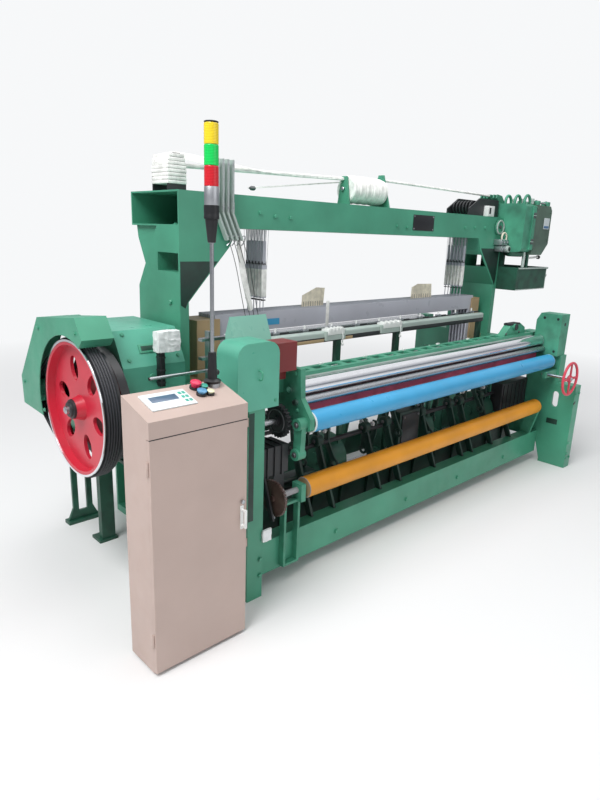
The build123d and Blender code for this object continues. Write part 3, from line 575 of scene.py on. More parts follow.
def on_console(x, y, lift=0.0):
    """A point over the sloping top of the console."""
    return Vector((x, y, CONSOLE_FRONT_Z + slope * (y - console_low.y) + lift))


def tilted_box(piece, place, size, lift, finish, bevel):
    """A flat piece lying on the sloping console, from its lowest x and y."""
    wide, deep, thick = size
    half = Vector(size) / 2
    middle = on_console(place[0] + wide / 2, place[1] + deep / 2, lift + thick / 2)
    piece.box(middle - half, middle + half, finish, bevel, tilt)


display = Piece("display_panel")
tilted_box(display, (-0.57, -0.178), (0.192, 0.112, 0.006), 0.0, "panel", 0.002)
tilted_box(display, (-0.545, -0.132), (0.115, 0.038, 0.0014), 0.0058, "lcd", 0.0005)
for row in range(3):
    for column in range(2):
        key = (-0.415 + 0.017 * column, -0.158 + 0.027 * row)
        tilted_box(display, key, (0.012, 0.016, 0.0016), 0.0058, "teal_button", 0.0006)
display.done()

buttons = Piece("push_buttons")
console_normal = Vector((0, -slope, 1)).normalized()
for x, y, radius, cap, finish in (
    (-0.322, -0.072, 0.022, 0.024, "red_button"),
    (-0.292, -0.086, 0.016, 0.01, "teal_button"),
    (-0.326, -0.122, 0.02, 0.014, "blue_button"),
    (-0.29, -0.13, 0.015, 0.01, "cream_button"),
):
    foot = on_console(x, y)
    bezel = [(0, radius * 1.05), (0.008, radius * 1.05), (0.01, radius * 0.9)]
    buttons.turned(bezel, foot, console_normal, "black", 28)
    mushroom = [
        (0.009, radius * 0.75), (0.009 + cap * 0.5, radius * 0.78), (0.009 + cap * 0.55, radius),
        (0.009 + cap * 0.85, radius), (0.009 + cap, radius * 0.7),
    ]
    buttons.turned(mushroom, foot, console_normal, finish, 28)
buttons.done()

handle = Piece("door_handle", "door")
x, front, bottom, top = door_high.x - 0.026, door_low.y, 0.52, 0.606
handle.pad(x, 0.008, (front - 0.004, bottom - 0.01), (front, top + 0.01), "white")
for z in (bottom + 0.008, top - 0.008):
    handle.rod((x, front - 0.002, z), (x, front - 0.026, z), 0.006, "white")
handle.pad(x, 0.006, (front - 0.032, bottom), (front - 0.022, top), "white", 0.005)
handle.turned([(0, 0.009), (0.006, 0.009), (0.008, 0.006)], (x, front - 0.006, top + 0.028), -Y, "steel", 24)
handle.done()

hinges = Piece("cabinet_hinges")
knuckles = [
    (0, 0.005), (0.002, 0.006), (0.026, 0.006), (0.027, 0.0045), (0.029, 0.0045), (0.03, 0.006),
    (0.054, 0.006), (0.056, 0.005),
]
for z in (0.16, 0.873):
    hinges.turned(knuckles, (door_low.x - 0.004, front + 0.012, z - 0.028), Z, "beige", 20)
hinges.done()

# Tower light: coloured rings replace the plain column of lamps; collar, socket and foot of the pole
lamps_low, lamps_high = corners("tower_lamps")
pole_low, pole_high = corners("tower_pole")
tower = centre("tower_lamps")
lamp_radius = (lamps_high.x - lamps_low.x) / 2
LAMP_CAP, COLLAR_HEIGHT, SOCKET_HEIGHT = 0.006, 0.067, 0.135
ring_height = (lamps_high.z - lamps_low.z - LAMP_CAP) / 3


def on_tower(piece, z, profile, finish):
    """A turned form about the tower's axis, from a height upwards."""
    piece.turned(profile, (*tower.xy, z), Z, finish, 40)


rings = Piece("lamp_rings")
ring = [
    (0, lamp_radius - 0.002), (0.002, lamp_radius), (ring_height - 0.004, lamp_radius),
    (ring_height - 0.001, lamp_radius - 0.002),
]
for index, finish in enumerate(("red_lamp", "green_lamp", "yellow_lamp")):
    on_tower(rings, lamps_low.z + ring_height * index, ring, finish)
top_cap = [(0, lamp_radius - 0.001), (0.004, lamp_radius), (LAMP_CAP, lamp_radius - 0.004)]
on_tower(rings, lamps_high.z - LAMP_CAP, top_cap, "black")
rings.done(["tower_lamps"])

collar = Piece("lamp_collar")
wide = lamp_radius + 0.0004
band = [(0, lamp_radius), (0.001, wide), (COLLAR_HEIGHT - 0.001, wide), (COLLAR_HEIGHT, lamp_radius)]
on_tower(collar, pole_high.z - COLLAR_HEIGHT, band, "aluminium")
socket = [
    (0, 0.0145), (0.004, 0.016), (0.085, 0.0245), (0.087, 0.0292), (0.1, 0.0292), (0.103, 0.0285),
    (0.11, 0.0292), (SOCKET_HEIGHT, 0.0292),
]
on_tower(collar, pole_high.z - COLLAR_HEIGHT - SOCKET_HEIGHT, socket, "black")
pole_foot = [(0, 0.0335), (0.01, 0.036), (0.014, 0.03), (0.018, 0.02), (0.115, 0.0165), (0.125, 0.0155)]
on_tower(collar, pole_low.z + 0.018, pole_foot, "black")
gland = [(0, 0.01), (0.006, 0.012), (0.02, 0.012), (0.024, 0.008)]
collar.turned(gland, (tower.x + 0.015, tower.y + 0.012, pole_low.z + 0.055), X, "black", 20)
collar.done()

# Top beam: bolts and a bare plate
beam = low("top_beam")
trim = Piece("top_beam_bolts")
front_bolts = (
    (0.485, 0.084), (0.59, 0.07), (0.7, 0.068), (1.645, 0.055), (1.75, 0.052), (2.455, 0.072),
    (2.59, 0.076), (2.735, 0.078),
)
trim.bolts([(x, beam.y, beam.z + z) for x, z in front_bolts], -Y, "green", 0.012)
trim.bolts([(x, beam.y + 0.09, beam.z + 0.008) for x in (0.03, 0.12, 0.21)], Z, "green", 0.01)
trim.done()

plate = Piece("bare_plate")
plate_face = beam.y - 0.0025
plate.box((1.812, plate_face, beam.z + 0.034), (2.052, beam.y, beam.z + 0.136), "plate", 0.004)
for x in (1.824, 2.04):
    for z in (0.044, 0.126):
        plate.turned([(0, 0.005), (0.0015, 0.004)], (x, plate_face, beam.z + z), -Y, "steel", 12)
plate.done()

# Gear cover: handle and screws
cover_low, cover_high = corners("gear_cover")
pull = Piece("cover_handle")
bow = ((0.0, 1.125), (0.022, 1.125), (0.024, 1.105), (0.022, 1.085), (0.0, 1.085))
pull.tube([(0.005, cover_low.y - out, z) for out, z in bow], 0.004, "green")
for x in (cover_low.x + 0.02, cover_high.x - 0.02):
    pull.bolts([(x, cover_low.y, cover_low.z + 0.03)], -Y, "green", 0.007)
pull.done()

# Flywheel: bright edge and hub cap
wheel_radius = half_height("flywheel")
wheel_face = (low("flywheel").x - 0.001, *centre("flywheel").yz)
rim = Piece("wheel_rim", "drive_wheel")
edge = [
    (0, wheel_radius - 0.01), (0, wheel_radius), (0.004, wheel_radius + 0.0005), (0.004, wheel_radius - 0.01),
]
rim.turned(edge, wheel_face, X, "chrome", 96, ring=True)
rim.done()
cap = Piece("hub_cap", "drive_wheel")
hub = [(0, 0.046), (0.01, 0.044), (0.012, 0.036), (0.02, 0.034), (0.022, 0.024)]
cap.turned(hub, wheel_face, -X, "iron", 40)
cap.turned([(0.02, 0.02), (0.034, 0.018), (0.038, 0.012)], wheel_face, -X, "steel")
cap.done()

# Handwheel: a round rim, tapered spokes and a hub on the wheel's own shaft
hand = Vector((centre("handwheel").x, low("handwheel").y + 0.009, centre("handwheel").z))
hand_radius = half_height("handwheel")
spoke_start, spoke_end = 0.022, hand_radius - 0.012
spoke = ((spoke_start, -0.011), (spoke_end, -0.006), (spoke_end, 0.006), (spoke_start, 0.011))
hub = [(0, 0.02), (0.003, 0.026), (0.022, 0.026), (0.026, 0.02)]
wheel = Piece("handwheel_ring", "hand_wheel")
wheel.hoop(hand, Y, hand_radius - 0.01, 0.0095, "hand", 64)
wheel.turned(hub, hand - Y * 0.01, Y, "hand")
wheel.turned([(0, 0.013), (0.006, 0.01)], hand - Y * 0.01, -Y, "steel", 20)
for quarter in range(4):
    turn = Matrix.Rotation(quarter * pi / 2, 3, "Y")
    turned_spoke = [hand + turn @ Vector((x, 0, z)) for x, z in spoke]
    outline = [(corner.x, corner.z) for corner in turned_spoke]
    wheel.plate(outline, "y", hand.y - 0.005, hand.y + 0.005, "hand")
wheel.rod(hand, (hand.x, high("handwheel").y, hand.z), 0.01, "steel", 24)
wheel.done(["handwheel"])

# Ends of the rollers: a steel face with a coloured lip; the cloth roller has its ratchet disc too
for name, lip_finish in (("press_roller", "white"), ("chrome_roller", "steel"), ("take_up_roller", "iron")):
    middle, radius = centre(name), half_height(name)
    face = [(0, 0.017), (0, radius - 0.006), (0.002, radius - 0.008), (0.002, 0.017)]
    lip = [
        (0, radius - 0.006), (0.0025, radius - 0.006), (0.0025, radius - 0.001), (-0.003, radius + 0.0006),
        (-0.003, radius - 0.002),
    ]
    ends = Piece(f"{name}_ends", name.removesuffix("er"))
    for x, way in ((0.335, -X), (2.88, X)):
        ends.turned(face, (x, *middle.yz), way, "dull_steel", 48, ring=True)
        ends.turned(lip, (x, *middle.yz), way, lip_finish, 64, ring=True)
    ends.done()

cloth = centre("cloth_roller")
cloth_ends = Piece("cloth_roller_ends", "cloth_roll")
face = [(0, 0.017), (0, 0.049), (0.0025, 0.048), (0.0025, 0.017)]
lip = [(0, 0.048), (0.003, 0.049), (0.003, 0.053), (-0.003, 0.0546), (-0.003, 0.05)]
for x, way in ((0.335, -X), (2.8, X)):
    cloth_ends.turned(face, (x, *cloth.yz), way, "wood", 48, ring=True)
    cloth_ends.turned(lip, (x, *cloth.yz), way, "orange", 48, ring=True)
cloth_ends.hoop((0.152, *cloth.yz), X, 0.0722, 0.0022, "steel")
red_ring = [(0, 0.034), (0, 0.06), (0.0015, 0.06), (0.0015, 0.034)]
cloth_ends.turned(red_ring, (0.1585, *cloth.yz), X, "wheel_red", 40, ring=True)
cloth_ends.done()

# Harness: adjuster plates, nuts and thin wires, one set on each heddle frame
for number in range(1, HEDDLE_FRAMES + 1):
    y, top = centre(f"heddle_frame_{number}").y, high(f"heddle_frame_{number}").z
    trim = Piece(f"harness_wires_{number}", f"harness_{number}")
    for cable in (0.58, 2.6):
        trim.pad(cable, 0.0172, (y - 0.0058, 1.352), (y + 0.0058, 1.503), "tape", 0.001)
        for x in (-0.011, 0.0, 0.011):
            trim.rod((cable + x, y, 1.508), (cable + x, y, 1.546), 0.0042, "iron", 8)
            trim.disc((cable + x, y, 1.523), Z, 0.0058, 0.006, "steel", 6)
            trim.rod((cable + x, y, 1.64), (cable + x * 1.4, y, 1.735), 0.0014, "steel", 6)
            trim.disc((cable + x, y, 1.33), Z, 0.0052, 0.006, "iron", 6)
        for x in (-0.014, -0.005, 0.005, 0.014):
            trim.rod((cable + x, y, 1.352), (cable + x * 2.4, y, top - 0.002), 0.0012, "steel", 6)
    for x in (0.3, 1.05, 1.52, 1.99, 2.735):
        trim.pad(x, 0.016, (y - 0.0064, top - 0.03), (y + 0.0064, top + 0.004), "dull_steel", 0.0015)
    trim.done()

# Paper cards that stand in the harness, and a strip of tape on the front frame
cards = Piece("harness_cards", "harness_3")
card_y = high("heddle_frame_3").y + 0.0006
for outline in (
    [
        (0.936, 1.18), (1.118, 1.176), (1.124, 1.24), (1.136, 1.378), (1.062, 1.383), (0.942, 1.338),
        (0.938, 1.262),
    ],
    [(2.04, 1.16), (2.3, 1.155), (2.304, 1.262), (2.292, 1.37), (2.118, 1.374), (2.048, 1.352)],
):
    cards.plate(outline, "y", card_y, card_y + 0.0016, "card", 0.0)
    left, right = min(outline)[0], max(outline)[0]
    for step in range(9):
        x = left + 0.02 + (right - left - 0.04) * step / 8
        cards.rod((x, card_y - 0.0004, 1.262), (x, card_y - 0.0004, 1.3), 0.0012, "iron", 6)
cards.done()
strip = Piece("front_frame_tape", "harness_1")
strip_y = low("heddle_frame_1").y
strip.box((1.085, strip_y - 0.0014, 1.15), (1.112, strip_y - 0.0002, 1.306), "tape", 0.0004)
strip.done()

# Straps and strands that hang from the levers at the front, the strands led to a thin bar
straps = Piece("lever_straps")
for fold in range(3):
    lean, y = 0.006 * fold, 0.508 + 0.008 * fold
    outline = [
        (0.322 + lean, 1.69), (0.338 + lean, 1.692), (0.372 + lean, 1.56), (0.438 + lean, 1.3),
        (0.42, 1.292), (0.352 + lean, 1.48), (0.33 + lean, 1.6),
    ]
    straps.plate(outline, "y", y, y + 0.003, "tape", 0.0008)
strand = (
    (0.262, 0.495, 1.662), (0.312, 0.505, 1.56), (0.372, 0.536, 1.4), (0.422, 0.56, 1.27),
    (0.467, 0.568, 1.14), (0.502, 0.573, 1.035),
)
for index in range(LEVERS):
    straps.tube([(x + LEVER_PITCH * index, y, z) for x, y, z in strand], 0.0018, "iron", 6)
straps.rod((0.255, 0.574, 1.03), (0.64, 0.574, 1.03), 0.006, "iron")
straps.done()

# Tapes wound on the drum at the left and led over the wrapped roll to the dobby
drum_low, drum_high = corners("left_jack_stack")
drum_x, drum_z, drum_radius, tape_foot = 0.07, drum_low.z + 0.125, 0.0545, 0.049
winding = Piece("drum_winding")
turns = []
for lap in range(7):
    start = drum_low.y + 0.01 + lap * 0.018
    turns += [(start, tape_foot), (start + 0.002, drum_radius)]
    turns += [(start + 0.014, drum_radius), (start + 0.016, tape_foot)]
winding.turned(turns, (drum_x, 0, drum_z), Y, "tape", 40)
for lap in range(8):
    z = drum_low.z + 0.034 + lap * 0.0175
    out = drum_radius - 0.0006 * (lap % 3) - 0.01 * max(lap - 4, 0) / 3
    winding.pad(drum_x, out, (drum_low.y - 0.0035, z), (drum_high.y + 0.0035, z + 0.017), "tape", 0.005)
winding.done()
tapes = Piece("jack_tapes")
for lap in range(6):
    y = 0.668 + lap * 0.018
    path = [
        (drum_x, y, drum_z + drum_radius), (0.2, y, drum_z + 0.052 - 0.004 * lap),
        (0.74, 0.7 + lap * 0.008, 2.012), (1.316, 0.69 + lap * 0.01, 2.04),
    ]
    tapes.tube(path, 0.006, "tape", 8, 0.25)
for lap in range(3):
    y = 0.716 + 0.012 * lap
    tapes.tube([(0.58, y, 1.934), (0.95, y, 1.978), (1.33, y - 0.004, 2.024)], 0.005, "tape", 8, 0.4)
coupling = [(0, 0.006), (0.01, 0.012), (0.03, 0.012), (0.04, 0.005)]
tapes.turned(coupling, (0.57, 0.716, 1.933), X, "dull_steel", 16)
tapes.done()

# The wrapped roll replaces the plain one, with a pin and a nut at its ends
roll, roll_radius = centre("middle_roll"), half_height("middle_roll")
roll_low, roll_high = corners("middle_roll")
wrapping = Piece("roll_wrapping")
wound = [(0.006, roll_radius - 0.006), (0.012, roll_radius + 0.001)]
for step in range(14):
    along = 0.026 + step * 0.0215
    wound += [(along - 0.004, roll_radius + 0.003 + 0.002 * (step % 3)), (along + 0.006, roll_radius + 0.001)]
wound += [(0.33, roll_radius + 0.001), (0.336, roll_radius - 0.008)]
wrapping.turned(wound, (roll_low.x, *roll.yz), X, "tape", 56)
pin = [(0, 0.012), (0.012, 0.012), (0.014, 0.009)]
wrapping.turned(pin, (roll_low.x - 0.014, *roll.yz), -X, "steel", 20)
wrapping.bolts([(roll_high.x + 0.014, *roll.yz)], X, "steel", 0.014)
wrapping.done(["middle_roll"])

# Lower machine: stays from the front beam to the breast beam, tie bars, covers and lever pins
# The lower parts take the deeper green, which is painted shade
stays = Piece("lower_stays")
for index, x in enumerate((0.47, 0.64, 1.04, 1.235, 1.6, 1.93, 2.06, 2.33, 2.6)):
    lean = 0.012 * (index % 3)
    outline = [
        (0.02, 0.252), (0.062, 0.252), (0.16, 0.47), (0.205 + lean / 2, 0.62), (0.222, 0.74),
        (0.222, 0.948), (0.202, 0.948), (0.202, 0.73), (0.168, 0.625), (0.112, 0.48),
    ]
    stays.plate(outline, "x", x - 0.008, x + 0.008, "deep", 0.003)
    boss = (x - 0.024, 0.18, 0.6)
    stays.drum(boss, X, 0.048, 0.034, "deep", 28, 0.004)
    stays.bolts([boss], -X, size=0.01)
for y, z, radius in ((0.212, 0.705, 0.011), (0.19, 0.575, 0.014), (0.11, 0.4, 0.012)):
    stays.rod((INNER_LEFT, y, z), (INNER_RIGHT, y, z), radius, "iron", 20)
stays.done()

apron = Piece("lower_channel")
for lowest, highest in (
    ((0.215, 0.11), (0.228, 0.35)), ((0.228, 0.11), (0.3, 0.124)), ((0.228, 0.336), (0.27, 0.35)),
):
    apron.box((INNER_LEFT, *lowest), (INNER_RIGHT, *highest), "deep")
gusset = [(0.205, 0.12), (0.214, 0.12), (0.214, 0.35), (0.185, 0.35)]
for index in range(12):
    x = 0.16 + 0.24 * index
    apron.plate(gusset, "x", x, x + 0.01, "deep")
    apron.bolts([(x + 0.1, 0.215, 0.3)], -Y, size=0.01)
apron.done()

boxes = Piece("lower_boxes")
boxes.box((2.545, 0.11, 0.432), (2.94, 0.205, 0.66), "iron", 0.008)
for index in range(6):
    boxes.pad(2.571 + 0.062 * index, 0.006, (0.104, 0.45), (0.112, 0.645), "iron", 0.002)
boxes.box((1.345, 0.15, 0.372), (1.56, 0.226, 0.64), "deep", 0.012)
boxes.box((1.365, 0.143, 0.392), (1.54, 0.152, 0.62), "iron", 0.004)
boxes.bolts([(x, 0.143, z) for z in (0.408, 0.604) for x in (1.38, 1.525)], -Y, size=0.008)
for index in range(5):
    z = 0.3 + 0.034 * index
    boxes.box((0.35, 0.14, z), (0.6, 0.215, z + 0.016), "deep")
boxes.done()

pickers = Piece("lower_levers")
for x, z, lean in (
    (0.56, 0.66, 0.05), (0.72, 0.64, -0.04), (1.045, 0.631, 0.03), (1.141, 0.6, 0.06),
    (1.31, 0.7, -0.03), (1.521, 0.69, 0.04), (1.619, 0.64, -0.05), (1.783, 0.69, 0.05),
    (2.14, 0.65, 0.04), (2.26, 0.69, -0.04), (2.42, 0.64, 0.05),
):
    pickers.rod((x - 0.03, 0.196, z), (x + 0.036, 0.196, z), 0.01, "steel", 18)
    pickers.disc((x - 0.018, 0.196, z), X, 0.016, 0.012, "white", 6)
    outline = [
        (0.18, z + 0.018), (0.212, z + 0.018), (0.214, z - 0.06), (0.186 + lean, z - 0.17),
        (0.15 + lean, z - 0.165), (0.176, z - 0.06),
    ]
    pickers.plate(outline, "x", x + 0.006, x + 0.018, "deep", 0.003)
    pickers.hoop((x + 0.012, 0.166 + lean, z - 0.18), X, 0.022, 0.008, "deep", 28)
pickers.done()

# Front beam and breast beam: bolts, pocket inserts, clips and the strip over the chrome roller
front_face = low("front_cross_beam").y
fixings = Piece("beam_bolts")
beam_places = ((0.614, 0.137), (1.242, 0.144), (1.812, 0.141), (2.436, 0.139))
fixings.bolts([(x, front_face, z) for x, z in beam_places], -Y, "green", 0.014)
for x, y in ((0.03, front_face - 0.0505), (2.965, -0.271)):
    fixings.bolts([(x, y, 0.12), (x, y, 0.205)], -Y, "green", 0.012)
for index in range(POCKETS):
    x = 0.045 + 2.905 / POCKETS * (index + 0.5)
    fixings.pad(x, 0.035, (0.127, 1.0141), (0.168, 1.02), "iron", 0.002)
    if index % 2 and index < LAST_CLIP:
        fixings.rod((x - 0.028, 0.14, 1.024), (x + 0.028, 0.15, 1.024), 0.004, "steel", 10)
    if index % 3 == 1 and index < LAST_CLIP:
        fixings.pad(x + 0.06, 0.014, (0.18, 1.0295), (0.194, 1.04), "white")
fixings.box((0.336, 0.0886, 0.998), (2.86, 0.0955, 1.012), "rail", 0.002)
fixings.done()

# Sley rail: dark front, strips of wood, white clamps with their hooks, and a bar of fittings behind
rail_low, rail_high = corners("sley_rail")
rail = Piece("sley_rail_trim", "sley_assembly")
for start, end, front, back, height, finish, bevel in (
    (rail_low.x + 0.004, rail_high.x - 0.004, 0.363, 0.3652, 0.026, "iron", 0.0008),
    (0.6, 0.846, 0.3612, 0.3645, 0.018, "wood", 0.001),
    (1.014, 1.09, 0.3612, 0.3645, 0.018, "wood", 0.001),
):
    rail.box((start, front, rail_low.z - 0.001), (end, back, rail_low.z + height), finish, bevel)
top = rail_high.z
for start, end in ((0.85, 1.01), (1.35, 1.56)):
    rail.box((start + 0.01, 0.344, top - 0.03), (end - 0.01, 0.402, top + 0.0035), "white", 0.004)
    for step in range(4):
        x = start + 0.035 + (end - start - 0.07) * step / 3
        rail.pad(x, 0.01, (0.3425, top - 0.012), (0.39, top + 0.012), "white", 0.004)
        rail.bolts([(x, 0.366, top + 0.012)], Z, "steel", 0.006)
    hook = ((0.03, 0.344, 1.15), (0.03, 0.336, 1.125), (0.032, 0.34, 1.105), (0.026, 0.345, 1.088))
    rail.tube([(end - x, y, z) for x, y, z in hook], 0.0032, "white", 8)
    rail.drum((end - 0.027, 0.344, 1.074), Z, 0.018, 0.008, "white", 16, 0.004)
rail.box((0.4, 0.436, 1.15), (2.56, 0.452, 1.164), "iron")
for index in range(10):
    x = 0.47 + 0.222 * index
    rail.pad(x, 0.012, (0.412, 1.146), (0.44, 1.158), "dull_steel", 0.002)
    rail.pad(x + 0.074, 0.024, (0.432, 1.158), (0.456, 1.176), "steel", 0.004)
    rail.rod((x + 0.074, 0.444, 1.17), (x + 0.074, 0.444, 1.196), 0.006, "white", 12)
    rail.pad(x + 0.14, 0.03, (0.436, 1.16), (0.45, 1.17), "iron")
rail.done()
label = Piece("blue_frame_label", "harness_1")
outline = [(0.59, 1.192), (0.7, 1.19), (0.7, 1.226), (0.59, 1.228)]
label.plate(outline, "y", strip_y - 0.001, strip_y - 0.0001, "blue", 0.0)
label.done()

# Gearbox: slot handle on the slanting face, dark sleeve and wrapped head of the feeler post
slant = Matrix.Rotation(radians(60.64), 3, "X")
out = slant @ Z
grip = Piece("gearbox_handle")
for size, lift, finish, bevel in (
    ((0.092, 0.044, 0.005), 0.0, "green", 0.0022), ((0.072, 0.024, 0.002), 0.0035, "dark", 0.0009),
):
    half = Vector(size) / 2
    middle = Vector((-0.222, 0.4722, 1.16)) + out * (lift + half.z)
    grip.box(middle - half, middle + half, finish, bevel, slant)
for x in (-0.33, -0.075):
    grip.bolts([(x, 0.448, 1.117), (x, 0.51, 1.227)], out, "green", 0.009)
grip.rod((-0.225, 0.4295, 1.03), (-0.225, 0.4225, 1.03), 0.018, "green", 28)
grip.done()
post = Piece("feeler_post")
post.box((-0.203, 0.393, 0.985), (-0.175, 0.4298, 1.15), "black", 0.006)
for z in (1.0, 1.06, 1.12):
    post.box((-0.2045, 0.3915, z), (-0.1735, 0.4299, z + 0.008), "iron", 0.002)
post.done()
head = Piece("wrapped_head")
head.lump((-0.22, 0.377, 1.148), (-0.096, 0.434, 1.25), "wrap", 0.0045, 24)
head.done()

# Take-up side at the left: bright sleeve on the gear shaft, pawl lever, white tag, bolts of the bracket
sleeve = Piece("gear_shaft_sleeve", "gear_shaft")
sleeve.drum((0.128, *GEAR_AXIS), X, 0.086, 0.0165, "steel", 32, 0.002)
sleeve.hoop((0.214, *GEAR_AXIS), X, 0.056, 0.003, "dull_steel")
sleeve.done()
pawl = Piece("take_up_details")
pawl.rod((0.158, 0.07, 0.452), (0.158, -0.024, 0.358), 0.0065, "steel")
pawl.disc((0.152, 0.064, 0.444), X, 0.012, 0.012, "steel")
pawl.box((0.2355, 0.02, 0.485), (0.2385, 0.07, 0.728), "iron", 0.001)
for index in range(20):
    z = 0.492 + 0.0118 * index
    for y in (0.012, 0.078):
        pawl.rod((0.2355, y, z), (0.2415, y, z), 0.0046, "dull_steel", 10)
pawl.bolts([(0.235, y, z) for z in (0.7, 0.61) for y in (0.0, 0.09)], X, size=0.006)
bracket_face = low("left_roller_bracket").x
pawl.bolts([(bracket_face, -0.06, 0.828), (bracket_face, -0.052, 0.675)], -X, size=0.013)
bracket_bolts = ((0.01, 1.06), (0.072, 1.06), (0.18, 0.905), (0.18, 0.99), (-0.01, 0.88))
pawl.bolts([(0.3, y, z) for y, z in bracket_bolts], -X, "green", 0.01)
pawl.lump((0.036, -0.085, 0.292), (0.092, -0.07, 0.356), "wrap", 0.003, 10)
pawl.done()

# Columns and side frames: a dark strip as painted shade, a dark patch, bolts, bores and the slot of the right
# end casting
marks = Piece("frame_bolts")
left_front = low("left_side_frame").y
# Painted shade: a thin dark plate on the left part of the side frame's front post, where the channel between
# the cabinet and the post lies in shade
marks.box((-0.0445, left_front - 0.0006, 0.42), (-0.014, left_front + 0.001, 0.938), "deep", 0.0004)
marks.box((RIGHT_FRAME_X - 0.0006, -0.168, 0.33), (RIGHT_FRAME_X + 0.001, -0.082, 0.372), "deep", 0.0004)
marks.bolts([(COLUMN_LEFT, 0.604, 1.351)], -X, "green", 0.013)
for x, way in ((COLUMN_LEFT, -X), (COLUMN_RIGHT, X)):
    marks.bolts([(x, y, 1.0) for y in (0.56, 0.7, 0.86)], way, "green", 0.013)
casting_face = low("right_end_casting").x
for y, z in ((-0.085, 1.15), (0.02, 1.15), (-0.085, 0.905), (0.05, 0.905)):
    marks.turned([(0, 0.01), (0.0008, 0.0095)], (casting_face, y, z), -X, "black", 20)
marks.turned([(0, 0.013), (0.0008, 0.012)], (2.955, -0.115, 1.11), -Y, "black", 20)
slot_tilt = Matrix.Rotation(radians(-24), 3, "Y")
marks.box((2.946, -0.2712, 0.52), (2.982, -0.2698, 0.536), "black", 0.0005, slot_tilt)
marks.bolts([(x, -0.27, z) for z in (0.08, 0.6) for x in (2.968, 3.022)], -Y, "green", 0.01)
marks.bolts([(2.5, 0.115, 1.044), (2.695, 0.115, 1.044)], -Y, size=0.008)
marks.turned([(0, 0.022), (0.006, 0.024), (0.01, 0.018)], (2.613, 0.1, 1.088), -Y, "iron", 28)
marks.box((2.555, 0.114, 1.1005), (2.7, 0.171, 1.115), "iron")
marks.done()

# Dobby: ring and clamps at its left, pilaster bolts, cast parts on top, label, and a rod with a knob
dobby = Piece("dobby_details")
flange = [(0, 0.052), (0.006, 0.06), (0.014, 0.06), (0.018, 0.05)]
dobby.turned(flange, (2.935, 0.52, 1.805), -Y, "casting", 40)
dobby.hoop((2.935, 0.5, 1.805), Y, 0.05, 0.006, "rail", 40)
dobby.bolts([(2.935, 0.502, 1.805)], -Y, size=0.014)
dobby.hoop((2.955, 0.47, 1.728), Y, 0.036, 0.007, "cream", 36)
for x, z in ((2.905, 1.69), (2.945, 1.69), (2.985, 1.69), (2.925, 1.64), (2.965, 1.64)):
    dobby.pad(x, 0.017, (0.452, z - 0.022), (0.519, z + 0.022), "aluminium", 0.004)
    dobby.bolts([(x, 0.452, z)], -Y, "steel", 0.008)
dobby.drum((2.985, 0.43, 1.64), Y, 0.064, 0.026, "rail", 28, 0.004)
dobby.disc((2.985, 0.4285, 1.64), Y, 0.016, 0.003, "iron", 24)
pilaster = [(x, 0.326, z) for z in (1.69, 1.716, 1.89, 1.916) for x in (3.123, 3.143)]
dobby.bolts(pilaster, -Y, size=0.008)
for z in (1.7, 1.9):
    dobby.box((3.108, 0.319, z), (3.15, 0.326, z + 0.006), "rail", 0.001)
lug = ((3.02, 1.988), (3.018, 2.03), (3.06, 2.056), (3.104, 2.034), (3.11, 1.988))
stub = [(0, 0.02), (0.004, 0.022), (0.04, 0.022), (0.044, 0.018)]
for y in (0.37, 0.45, 0.53):
    dobby.tube([(x, y, z) for x, z in lug], 0.011, "casting", 12)
    dobby.turned(stub, (3.13, y, 1.988), Z, "rail", 24)
for x, y in ((3.19, 0.36), (3.19, 0.48), (3.29, 0.42), (3.36, 0.36), (3.36, 0.52)):
    dobby.pad(x, 0.022, (y - 0.03, 1.984), (y + 0.03, 2.018), "casting", 0.006)
    dobby.bolts([(x, y, 2.018)], Z, "steel", 0.009)
dobby.rod((3.175, 0.35, 2.006), (3.395, 0.35, 2.0), 0.007, "steel")
for lowest, highest, finish, bevel in (
    ((2.77, 0.53, 1.8805), (2.868, 0.585, 1.96), "white", 0.004),
    ((2.79, 0.5285, 1.9), (2.815, 0.531, 1.945), "iron", 0.002),
    ((3.31, 0.3284, 1.806), (3.406, 0.33, 1.892), "label", 0.0006),
    ((3.316, 0.3278, 1.812), (3.4, 0.3286, 1.83), "blue_label", 0.0003),
):
    dobby.box(lowest, highest, finish, bevel)
cover_bolts = ((3.175, 1.64), (3.175, 1.96), (3.41, 1.72), (3.41, 1.93))
dobby.bolts([(x, 0.33, z) for x, z in cover_bolts], -Y, "olive", 0.01)
bell = [(0, 0.06), (0.004, 0.07), (0.03, 0.07), (0.036, 0.052)]
dobby.turned(bell, (3.06, 0.42, 1.62), -Z, "dark", 36)
dobby.rod((3.092, 0.356, 1.5), (3.092, 0.356, 1.622), 0.012, "rail", 18)
rod_end = (3.33, 0.356, 1.582)
dobby.rod((3.17, 0.356, 1.575), rod_end, 0.008, "white")
dobby.turned([(0, 0.014), (0.02, 0.016), (0.026, 0.01)], rod_end, X, "black", 20)
dobby.box((3.15, 0.352, 1.5), (3.176, 0.372, 1.602), "dark")
dobby.done()
tray_low, tray_high = corners("dobby_tray")
tray = Piece("tray_rim")
tray.box((tray_low.x, tray_low.y - 0.0012, 1.4885), (tray_high.x - 0.001, tray_low.y, 1.4992), "rail", 0.0004)
tray.box((tray_low.x, 0.3485, tray_low.z + 0.001), (3.514, 0.3502, tray_low.z + 0.007), "rail", 0.0005)
tray.box((3.508, 0.3484, tray_low.z + 0.002), (3.516, 0.3502, 1.486), "rail", 0.0005)
knob = [(0, 0.01), (0.002, 0.022), (0.012, 0.024), (0.015, 0.018)]
tray.turned(knob, (3.515, 0.372, 1.43), X, "black", 24)
tray.done()

